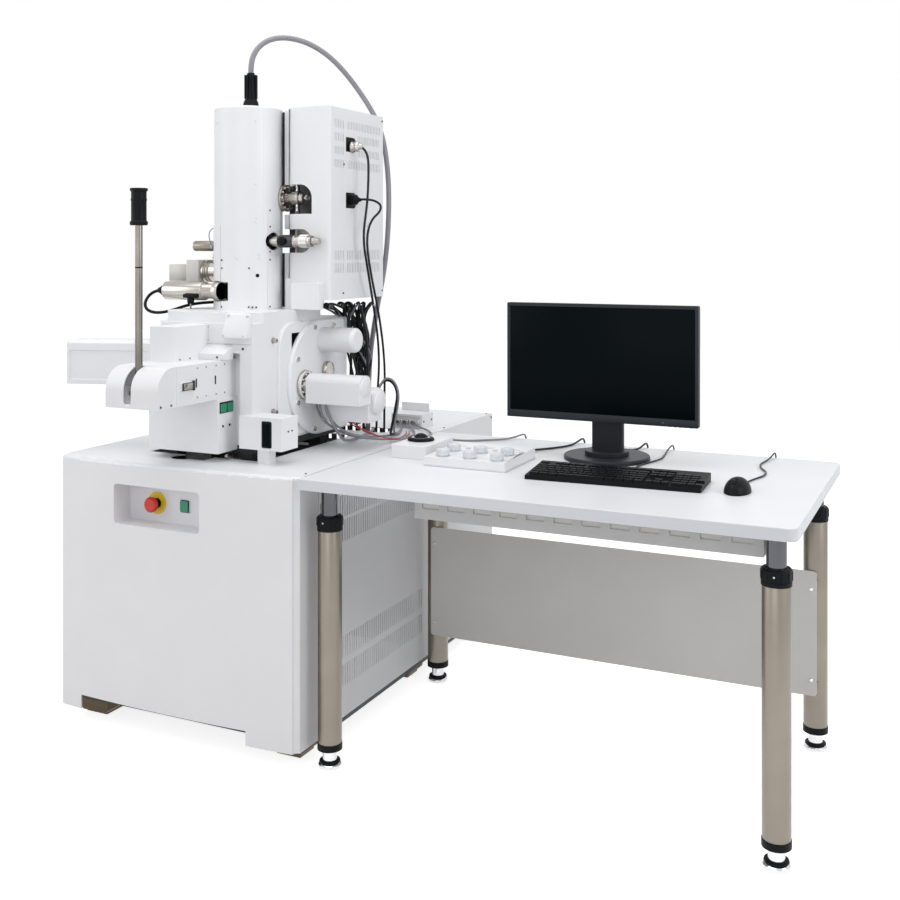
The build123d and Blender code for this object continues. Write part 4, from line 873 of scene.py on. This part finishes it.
class MICROSCOPE_OT_detectors(bpy.types.Operator):
    """Detectors on the chamber's left, chamber camera and signal boxes"""
    bl_idname = "microscope.detectors"
    bl_label = "Detectors"

    def execute(self, context):
        dressed("detector_housing", powder_coat(), 1.4, 3)
        dressed("side_detector", stainless(), 0.8)
        y, z = DETECTOR_Y, DETECTOR_Z
        body = turned((0, y, z), (1, 0, 0), [(148, 12), (148, 22), (156, 27.6), (286, 27.6), (287, 26.4),
            (291, 22), (322, 22), (322, 17), (326, 17), (326, 27.6), (344, 27.6), (345, 26)], 48)
        done(bevel(body, 0.5 * MM), "side_detector_shell", stainless())
        gland = turned((0, y, z), (-1, 0, 0), [(-174, 21), (-156, 21), (-152, 18), (-146, 18), (-144, 15.5),
            (-132, 15), (-130, 11), (-118, 8)], 10)
        done(bevel(gland, 0.8 * MM), "side_detector_gland", black_rubber())
        bar_ = slab((232, 246, 1164), (282, 258, 1176), 3, 3)
        stem = turned((257, 252, 1148), (0, 0, 1), [(0, 8), (3, 10), (16, 10)], 24)
        done(joined(bar_, stem), "holder_knob", black_plastic_and_hole_shade())
        rod = turned((257, 252, 1094), (0, 0, 1), [(0, 2.6), (56, 2.6)], 16)
        done(rod, "holder_rod", rod_steel_painted_reflection())
        done(slab((113, 333.4, 1210.4), (180, 400.6, 1259.6), 1.2), "drive_box", grey_casting())
        block = slab((180, 329.4, 1207.4), (224.6, 404.6, 1273.6), 1.6, 3)
        done(block, "drive_block", grey_coat_and_slot_light())
        flange = turned((0, COLUMN_Y, DRIVE_Z), (1, 0, 0), [(224, 24), (226, 30), (236, 32.6), (236, 33.4),
            (243, 33.4), (243, 31), (246, 31), (246, 33.4), (254, 33.4), (254, 26), (280, 26)], 48)
        done(bevel(flange, 0.6 * MM), "drive_ring", satin_tube())
        gauge = turned((0, COLUMN_Y, GAUGE_Z), (1, 0, 0), [(184.5, 6), (184.5, 13), (187, 15.6), (252, 15.6),
            (252, 14), (255, 14), (255, 15.6), (300, 15.6)], 40)
        done(bevel(gauge, 0.5 * MM), "gauge", satin_tube())
        eye = turned((262, 352, 1284), (0, -1, 0.2), [(0, 8), (3, 8), (3, 5), (6, 5), (6, 3)], 20)
        done(bevel(eye, 0.5 * MM), "gauge_valve", stainless())
        wire("gauge_lead", [(268, 356, 1288), (262, 350, 1306), (252, 346, 1334), (250, 346, 1352),
            (258, 348, 1366), (270, 352, 1368), (282, 360, 1366)], 2.6, blue_sheath())
        dressed("scope_box", powder_coat(), 1.4, 3)
        low, high = mm("scope_box")
        glass = slab((600.6, low.y - 1.2, 779), (631.4, low.y + 4, 849), 5, 4)
        done(glass, "camera_window", black_plastic_and_hole_shade())
        inner = slab((605, low.y - 1.8, 784), (627, low.y, 844), 3, 3)
        done(inner, "camera_lens_plate", screen_face())
        done(screws([(high.x, 140, 822), (high.x, 158, 822)], (1, 0, 0), 2.4), "camera_box_screws",
            blackened_steel_and_gap_shade())
        support = slab((575, 128, CONSOLE_TOP - 2), (612, 160, low.z), 1)
        done(support, "camera_foot", powder_coat())
        dressed("connector_box", powder_coat(), 1)
        low, high = mm("connector_box")
        for i in range(3):
            x = low.x + 20 + i * 30
            shell_ = slab((x, low.y - 8, low.z + 13), (x + 22, low.y + 6, low.z + 27), 2.5, 3)
            done(shell_, f"connector_{i + 1}", stainless())
        done(screws([(high.x, y_, low.z + 22) for y_ in (842, 898)], (1, 0, 0), 3), "connector_box_screws",
            blackened_steel_and_gap_shade())
        return {"FINISHED"}


# Desk

class MICROSCOPE_OT_desk(bpy.types.Operator):
    """Desk top with its edge band, telescopic legs, modesty panel and cable trays"""
    bl_idname = "microscope.desk"
    bl_label = "Desk"

    def execute(self, context):
        top = dressed("desk_top", laminate(), 0.8)
        low, high = DESK_LOW, DESK_HIGH
        top.data.materials.append(edge_band())
        for face in top.data.polygons:
            if abs(face.normal.z) < 0.9:
                face.material_index = 1
        legs = mm("desk_legs")
        dressed("desk_posts", post_chrome_painted_reflection(), 0)
        tubes, collars, feet, chromes = [], [], [], []
        xs = (legs[0].x + 33, legs[1].x - 33)
        ys = (legs[0].y + 33, legs[1].y - 33)
        for x in xs:
            for y in ys:
                tubes.append(bevel(turned((x, y, 0), (0, 0, 1), [(62, 27.5), (62, 30.5), (598, 30.5),
                    (598, 27.5)], 64), 0.8 * MM))
                rings = [(597, 22), (597, 32.4), (606, 32.4), (606, 31.2), (608, 31.2), (608, 33)]
                rings += [(630, 33), (634, 29), (634, 22)]
                collars.append(turned((x, y, 0), (0, 0, 1), rings, 48))
                rib = slab((x - 2.2, y - 34, 609), (x + 2.2, y - 32, 628), 0.6)
                collars += turned_copies(rib, x, y, range(0, 360, 30))
                collars.append(turned((x, y, 0), (0, 0, 1), [(46, 20), (46, 31.6), (62, 31.6), (62, 29)], 48))
                chromes.append(bevel(turned((x, y, 0), (0, 0, 1),
                    [(0, 24), (0, 29), (4, 30), (9, 29), (14, 22), (17, 18), (46, 18)], 48), 0.5 * MM))
                feet.append(turned((x, y, 0), (0, 0, 1), [(14.5, 19), (14.5, 27), (18, 26), (20, 19)], 40))
        piece = done(joined(*tubes), "leg_tubes", satin_tube())
        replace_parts(piece, "desk_legs")
        done(joined(*collars), "leg_collars", black_plastic_and_hole_shade())
        done(joined(*feet), "foot_rings", black_plastic_and_hole_shade())
        done(joined(*chromes), "leg_feet", chrome())
        heads = [(x, y - 33.4, 620) for x in xs for y in ys]
        done(screws(heads, (0, -1, 0), 2.4), "collar_screws", stainless())
        dressed("modesty_panel", grey_coat_and_slot_light(), 0.6)
        low, high = mm("modesty_panel")
        clips = []
        for x in xs:
            for z in (175, 440):
                clips.append(slab((x - 11, high.y, z - 11), (x + 11, ys[1] - 24, z + 11), 1.5))
        done(joined(*clips), "panel_lugs", satin_tube())
        edge_x = (low.x + 12, high.x - 14)
        done(screws([(x, low.y, z) for x in edge_x for z in (190, 425)], (0, -1, 0), 4.4, 3), "panel_screws",
            chrome())
        # The trays take the darker coat as painted shade under the desk
        dressed("cable_trays", tray_shade_coat(), 0)
        low, high = mm("cable_trays")
        # Pale sheet just behind the tray's slots: painted light seen through the slots
        slot_light_sheet = slab((low.x + 6, low.y + 3, high.z - 50), (high.x - 6, low.y + 4, high.z - 27), 0)
        done(slot_light_sheet, "tray_slot_light_sheet", grey_coat_and_slot_light(), "desk")
        return {"FINISHED"}


# Monitor, keyboard and mouse

class MICROSCOPE_OT_monitor(bpy.types.Operator):
    """Monitor with its stand"""
    bl_idname = "microscope.monitor"
    bl_label = "Monitor"

    def execute(self, context):
        dressed("monitor_screen", screen_case(), 0.8)
        low, high = mm("monitor_screen")
        glass = slab((low.x + 9.4, low.y + 0.9, low.z + 20.4), (high.x - 9.4, low.y + 1.8, high.z - 9.4), 0.3)
        done(glass, "screen_glass", screen_face(), "screen")
        chin = slab((low.x + 0.5, low.y - 0.8, low.z + 0.5), (high.x - 0.5, low.y + 1, low.z + 19), 0.6)
        done(chin, "screen_chin", screen_case(), "screen")
        lamp_ = slab((high.x - 96, low.y - 1.2, low.z + 8), (high.x - 90, low.y, low.z + 10.5), 0.4)
        done(lamp_, "screen_lamp", blue_sheath(), "screen")
        keys = [slab((high.x - 80 + i * 14, low.y + 4, low.z - 1),
            (high.x - 72 + i * 14, low.y + 12, low.z + 1), 0.5) for i in range(5)]
        done(joined(*keys), "screen_keys", black_plastic_and_hole_shade(), "screen")
        vents = []
        for i in range(24):
            x = low.x + 150 + i * 10
            vents.append(slab((x, high.y - 22.6, high.z - 62), (x + 5, high.y - 21.4, high.z - 46), 0))
        done(joined(*vents), "screen_vents", black_rubber(), "screen")
        dressed("monitor_base", screen_case(), 1.5, 3)
        dressed("monitor_neck", screen_case(), 1.2, 3)
        dressed("monitor_bracket", blackened_steel_and_gap_shade(), 0.6)
        return {"FINISHED"}


class MICROSCOPE_OT_keyboard(bpy.types.Operator):
    """Keyboard with its keys and the mouse with its buttons and wheel"""
    bl_idname = "microscope.keyboard"
    bl_label = "Keyboard and mouse"

    def execute(self, context):
        dressed("keyboard", black_plastic_and_hole_shade(), 0.9, 2)
        low, high = mm("mouse")
        x, y = (low.x + high.x) / 2, (low.y + high.y) / 2
        clear()
        bpy.ops.mesh.primitive_uv_sphere_add(segments=48, ring_count=32, radius=1, location=(0, 0, 0))
        body = bpy.context.object
        body.scale = ((high.x - low.x) / 2 * MM, (high.y - low.y) / 2 * MM, (high.z - low.z) * MM)
        body.location = at(x, y, low.z)
        settle(body)
        use(body)
        bpy.ops.object.mode_set(mode="EDIT")
        bpy.ops.mesh.select_all(action="SELECT")
        bpy.ops.mesh.bisect(plane_co=at(x, y, low.z + 0.4), plane_no=(0, 0, -1), clear_outer=True,
            use_fill=True)
        bpy.ops.object.mode_set(mode="OBJECT")
        groove = slab((x - 0.5, low.y - 2, low.z + 12), (x + 0.5, y - 8, high.z + 2), 0)
        cut(body, groove)
        across = slab((low.x - 2, y - 9, low.z + 20), (high.x + 2, y - 8, high.z + 4), 0)
        cut(body, across)
        slot = slab((x - 4, y - 38, high.z - 14), (x + 4, y - 14, high.z + 2), 0)
        cut(body, slot)
        piece = done(body, "mouse_shell", black_plastic_and_hole_shade(), "desk", 50)
        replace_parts(piece, "mouse")
        wheel = turned((x, y - 26, high.z - 11), (1, 0, 0), [(-3.2, 8), (-3.2, 9), (-2.6, 10), (2.6, 10),
            (3.2, 9), (3.2, 8)], 32)
        done(wheel, "mouse_wheel", black_rubber(), "desk")
        return {"FINISHED"}


class MICROSCOPE_OT_panels(bpy.types.Operator):
    """Operation panel with its knobs and the trackball box"""
    bl_idname = "microscope.panels"
    bl_label = "Operation panels"

    def execute(self, context):
        dressed("knob_panel", moulded_white(), 2, 3)
        for i in range(1, 7):
            name = f"knob_{i}"
            low, high = mm(name)
            x, y = (low.x + high.x) / 2, (low.y + high.y) / 2
            z = high.z - 22
            rings = [(0, 12), (0, 18.4), (2, 18.4), (3, 17.4), (12, 16.6), (15, 14.6), (16, 12), (16, 4)]
            knob = turned((x, y, z), (0, 0, 1), rings, 48)
            rib = turned((x, y - 17, z + 2), (0, 0.06, 1), [(0, 1.5), (11, 1.5)], 8)
            ribs = [(across, 17 - ahead, 0) for across, ahead in circle(16, 17)]
            knob = joined(knob, copies(rib, ribs))
            body = frame["nodes"][name]["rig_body"]
            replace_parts(done(knob, f"dial_knob_{i}", grey_knob(), body), name)
        low, high = mm("knob_panel")
        skirt = slab((low.x - 1.2, low.y - 1.2, low.z), (high.x + 1.2, high.y + 1.2, low.z + 5), 1.5)
        done(skirt, "knob_panel_skirt", grey_knob(), "desk")
        for i, x in enumerate((1034, 1112, 1190)):
            z = low.z + 24 + 7 * (425 - low.y) / (high.y - low.y)
            keys = slab((x + 21, 418, z - 1), (x + 33, 430, z + 3.4), 1.5)
            done(keys, f"panel_key_{i + 1}", grey_knob(), "desk")
            small = slab((x - 6, 446, z - 1), (x + 10, 456, z + 2), 1)
            done(small, f"panel_switch_{i + 1}", grey_knob(), "desk")
        dressed("trackball_box", moulded_white(), 1.6, 3)
        low, high = mm("trackball")
        x, y, z = (low.x + high.x) / 2, (low.y + high.y) / 2, (low.z + high.z) / 2
        r = (high.x - low.x) / 2
        ring = turned((x, y, z), (0, 0, 1), [(4, 24.6), (4, 37), (7, 38), (11, 36), (13.4, 31), (13.6, 27),
            (12.6, 24.4)], 64)
        done(ring, "trackball_ring", black_plastic_and_hole_shade(), "desk")
        clear()
        bpy.ops.mesh.primitive_uv_sphere_add(segments=48, ring_count=24, radius=r * MM, location=at(x, y, z))
        ball = settle(bpy.context.object)
        use(ball)
        bpy.ops.object.mode_set(mode="EDIT")
        bpy.ops.mesh.select_all(action="SELECT")
        bpy.ops.mesh.vertices_smooth(factor=0.1, repeat=1)
        bpy.ops.object.mode_set(mode="OBJECT")
        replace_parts(done(ball, "trackball_sphere", black_plastic_and_hole_shade(), "ball", 60), "trackball")
        return {"FINISHED"}


# Cables held at both ends, and the free cords on the desk

DESK_Z = DESK_HIGH.z
EDGE_Y = DESK_HIGH.y
VOLTAGE_CABLE = [(386, 367, 1822), (386, 367, 1850), (392, 375, 1882.5), (405, 392.5, 1910), (426, 420, 1930),
    (456, 459, 1937), (496, 512, 1926), (540, 575, 1886), (585, 645, 1805), (632, 712, 1690),
    (652, 724, 1550), (655, 722, 1400), (640, 724, 1250), (600, 740, 1110), (570, 755, 980), (560, 760, 850),
    (558, 760, 715),]
DETECTOR_HOSE = [
    (139, 280, 1184), (114, 280, 1184), (94, 268, 1172), (88, 252, 1148), (100, 246, 1126), (130, 254, 1117),
    (172, 268, 1124), (212, 286, 1140), (250, 306, 1148), (286, 324, 1150),
]
UPPER_LEAD = [(651, 493, 1612), (672, 497, 1611), (688, 506, 1600), (696, 514, 1580), (698, 516, 1540),
    (696, 512, 1440), (686, 500, 1340), (682, 540, 1240), (672, 590, 1140), (655, 650, 1040), (630, 705, 940),
    (605, 735, 840), (600, 740, 715),]
LOWER_LEAD = [(651, 494, 1450), (680, 510, 1453), (702, 545, 1450), (712, 568, 1436), (710, 562, 1416),
    (702, 536, 1398), (697, 516, 1370), (694, 510, 1320), (692, 540, 1230), (684, 596, 1130),
    (668, 656, 1030), (646, 712, 930), (626, 745, 835), (620, 755, 715),]
STAGE_LEAD = [
    (640, 369, 869), (640, 369, 848), (650, 385, 815), (655, 410, 780), (650, 450, 752), (640, 500, 741),
    (632, 560, 739), (625, 620, 739), (618, 670, 741), (608, 705, 744), (596, 730, 738), (590, 742, 715),
]
PUMP_LEADS = ((560, 610, 8, 500, 9), (590, 585, -7, 520, 8), (618, 612, 6, 545, 9), (540, 640, -9, 475, 7))


def pump_lead(x, y, drift, end):
    """Route from under the pump housing into the console's cable duct."""
    return [(x, y, PUMP_LOW.z + 3), (x, y, 1120), (x + drift, y + 12, 1070), (x + drift, y + 26, 1010),
        (x, y + 40, 950), (x - drift, y + 52, 890), ((x + end) / 2, 735, 830), (end, 752, 770),
        (end, 756, 715)]


REAR_BUNDLE = ((560, 650, 1102), (572, 668, 1050), (586, 678, 990), (586, 686, 925), (560, 696, 860),
    (530, 722, 795))


def rear_lead(number):
    """Lead from under the pump housing that joins the bundle behind the chamber and enters the console."""
    turn = number * 2.4
    fan = 44 if number % 3 else 28
    start = (580 + 54 * sin(turn * 1.7), 560 + 90 * cos(turn), PUMP_LOW.z + 3)
    points = [start, (start[0] + 8 * cos(turn), start[1] + 6, 1148)]
    for step, (x, y, z) in enumerate(REAR_BUNDLE):
        spread = fan * (1 - 0.13 * step)
        angle = turn + 0.9 * step * (1 if number % 2 else -1)
        points.append((x + spread * cos(angle), y + spread * 0.5 * sin(angle), z + 10 * sin(turn + step)))
    return points + [(510 + 24 * cos(turn), 752, 752)]


DRIVE_LEADS = (
    ([(606, 392, 858), (612, 388, 836), (624, 400, 806), (646, 440, 774), (690, 500, 750), (760, 600, 738.6),
      (820, 700, 737), (760, 790, 738), (700, 820, 742), (690, 832, 752)], 6, "grey"),
    ([(622, 400, 852), (630, 396, 830), (646, 410, 800), (676, 450, 768), (716, 520, 746), (764, 620, 738),
      (752, 720, 737), (690, 800, 740), (666, 832, 752)], 6, "grey"),
    ([(590, 398, 868), (596, 394, 846), (606, 408, 812), (630, 460, 772), (664, 540, 748), (700, 640, 738),
      (690, 740, 738), (650, 810, 742), (640, 832, 752)], 7, "grey"),
    ([(664, 440, 815), (674, 442, 804), (694, 452, 790), (722, 474, 772), (748, 520, 754), (752, 600, 739),
      (730, 700, 738), (706, 740, 738)], 3.4, "red"),
    ([(676, 444, 815), (686, 446, 802), (706, 458, 788), (734, 484, 768), (756, 530, 750), (760, 610, 738.6),
      (738, 705, 738), (714, 744, 738)], 3.4, "red"),
    ([(700, 560, 868), (704, 566, 894), (716, 574, 914), (734, 580, 916), (750, 584, 900), (756, 588, 872),
      (748, 590, 836), (738, 596, 800), (722, 610, 764), (704, 640, 740), (690, 700, 738)], 8, "black"),
    ([(706, 552, 868), (710, 560, 902), (726, 568, 924), (746, 574, 920), (760, 578, 898), (764, 582, 866),
      (752, 590, 820), (736, 604, 778), (716, 640, 742), (700, 710, 738)], 6, "grey"),
)


class MICROSCOPE_OT_cables(bpy.types.Operator):
    """High-voltage cable, detector hose and the leads into the console"""
    bl_idname = "microscope.cables"
    bl_label = "Instrument cables"

    def execute(self, context):
        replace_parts(wire("voltage_cable", VOLTAGE_CABLE, 16, grey_sheath()), "hv_cable")
        routes = [("detector_hose", DETECTOR_HOSE, 9, black_rubber()),
            ("upper_lead", UPPER_LEAD, 7, black_sheath()), ("lower_lead", LOWER_LEAD, 7, black_sheath()),
            ("stage_lead", STAGE_LEAD, 8, grey_sheath())]
        for i, (x, y, drift, end, size) in enumerate(PUMP_LEADS):
            routes.append((f"pump_lead_{i + 1}", pump_lead(x, y, drift, end), size, black_sheath()))
        for name, points, size, sheath in routes:
            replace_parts(wire(name, points, size, sheath), "instrument_cables")
        for i in range(22):
            finish = grey_sheath() if i % 5 == 2 else black_sheath()
            wire(f"rear_lead_{i + 1}", rear_lead(i), (9, 7, 6, 10, 5)[i % 5], finish)
        for i, (points, size, sheath) in enumerate(DRIVE_LEADS):
            finish = {"grey": grey_sheath, "black": black_sheath, "red": red_sheath}[sheath]()
            wire(f"drive_lead_{i + 1}", points, size, finish)
        ties = [turned(p, (0.1, 0.2, 1), [(0, 5.6), (3, 5.6)], 12) for p in ((694, 510, 1372),
            (676, 592, 1136))]
        done(joined(*ties), "lead_ties", grey_coat_and_slot_light())
        return {"FINISHED"}


def over_edge(x):
    """Last points of a desk cord: over the rear edge and forward into the tray."""
    return [(x, EDGE_Y + 10, DESK_Z + 12), (x, EDGE_Y + 26, DESK_Z + 2), (x, EDGE_Y + 30, DESK_Z - 18),
        (x, EDGE_Y + 20, DESK_Z - 36), (x, EDGE_Y, DESK_Z - 41), (x, EDGE_Y - 24, DESK_Z - 41),
        (x, EDGE_Y - 66, DESK_Z - 42), (x, EDGE_Y - 100, DESK_Z - 44)]


DESK_CORDS = (("keyboard_cord", 4.5, 599, [(1516, 397, DESK_Z + 9), (1517, 412, DESK_Z + 8),
    (1516, 440, DESK_Z + 3.2), (1509, 480, DESK_Z + 3), (1512, 530, DESK_Z + 3), (1528, 580, DESK_Z + 3),
    (1540, 635, DESK_Z + 3), (1534, 690, DESK_Z + 3), (1528, 735, DESK_Z + 4), (1526, 775, DESK_Z + 9),
    *over_edge(1526)]), ("mouse_cord", 4.5, 634, [(1805, 367, DESK_Z + 8), (1805, 383, DESK_Z + 7),
    (1806, 415, DESK_Z + 3), (1816, 465, DESK_Z + 3), (1832, 515, DESK_Z + 3), (1830, 570, DESK_Z + 3),
    (1805, 620, DESK_Z + 3), (1795, 675, DESK_Z + 3), (1806, 730, DESK_Z + 4), (1810, 772, DESK_Z + 9),
    *over_edge(1811)]), ("panel_cord", 6, 509, [(1160, 505, DESK_Z + 14), (1160, 525, DESK_Z + 14),
    (1164, 560, DESK_Z + 9), (1180, 610, DESK_Z + 4), (1212, 655, DESK_Z + 3.5), (1240, 700, DESK_Z + 3.5),
    (1252, 742, DESK_Z + 4), (1256, 776, DESK_Z + 9), *over_edge(1257)]),
    ("trackball_cord", 6, 516, [(912, 530, DESK_Z + 18), (912, 548, DESK_Z + 18), (918, 585, DESK_Z + 20),
    (935, 630, DESK_Z + 10), (960, 675, DESK_Z + 4), (1000, 712, DESK_Z + 4), (1040, 742, DESK_Z + 4),
    (1062, 774, DESK_Z + 9), *over_edge(1070)]), ("monitor_cord", 6, 287,
    [(1430, 707, DESK_Z + 5), (1430, 722, DESK_Z + 5), (1438, 738, DESK_Z + 4), (1444, 756, DESK_Z + 4.5),
    (1448, 778, DESK_Z + 9), *over_edge(1449)]),)


class MICROSCOPE_OT_cords(bpy.types.Operator):
    """Free cords of the keyboard, mouse, panels and monitor, over the desk's rear edge into the tray"""
    bl_idname = "microscope.cords"
    bl_label = "Desk cords"

    def execute(self, context):
        for node, size, length, points in DESK_CORDS:
            finish = grey_sheath() if node == "trackball_cord" else black_sheath()
            lead = wire(node + "_sheath", points, size, finish, "desk")
            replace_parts(lead, node)
            start, ahead = points[0], points[1]
            along = (ahead[0] - start[0], ahead[1] - start[1], ahead[2] - start[2])
            relief = turned(start, along, [(-2, size * 0.95), (3, size * 0.95), (4, size * 0.8),
                (14, size * 0.62)], 16)
            done(relief, node + "_relief", black_rubber(), "desk")
        return {"FINISHED"}


# Sidebar, registration and the whole build

class MICROSCOPE_PT_panel(bpy.types.Panel):
    """Lists the sizes, the colours and one button per piece"""
    bl_idname = "MICROSCOPE_PT_panel"
    bl_label = "Microscope"
    bl_space_type = "VIEW_3D"
    bl_region_type = "UI"
    bl_category = "Microscope"

    def draw(self, context):
        for group in (context.scene.microscope_sizes, context.scene.microscope_colours):
            box = self.layout.box()
            for name in group.bl_rna.properties.keys():
                if name not in {"rna_type", "name"}:
                    box.prop(group, name)
        for operator in PIECES:
            self.layout.operator(operator.bl_idname)


PIECES = (MICROSCOPE_OT_stage, MICROSCOPE_OT_cords, MICROSCOPE_OT_cables, MICROSCOPE_OT_console,
    MICROSCOPE_OT_switches, MICROSCOPE_OT_column, MICROSCOPE_OT_pumps, MICROSCOPE_OT_chamber,
    MICROSCOPE_OT_airlock, MICROSCOPE_OT_detectors, MICROSCOPE_OT_desk, MICROSCOPE_OT_monitor,
    MICROSCOPE_OT_keyboard, MICROSCOPE_OT_panels)
CLASSES = (MicroscopeSizes, MicroscopeColours, *PIECES, MICROSCOPE_PT_panel)


def register():
    for item in CLASSES:
        bpy.utils.register_class(item)
    bpy.types.Scene.microscope_sizes = PointerProperty(type=MicroscopeSizes)
    bpy.types.Scene.microscope_colours = PointerProperty(type=MicroscopeColours)


def unregister():
    del bpy.types.Scene.microscope_colours
    del bpy.types.Scene.microscope_sizes
    for item in reversed(CLASSES):
        bpy.utils.unregister_class(item)


def main():
    register()
    for operator in PIECES:
        getattr(bpy.ops.microscope, operator.bl_idname.split(".")[1])()


if __name__ == "__main__":
    main()
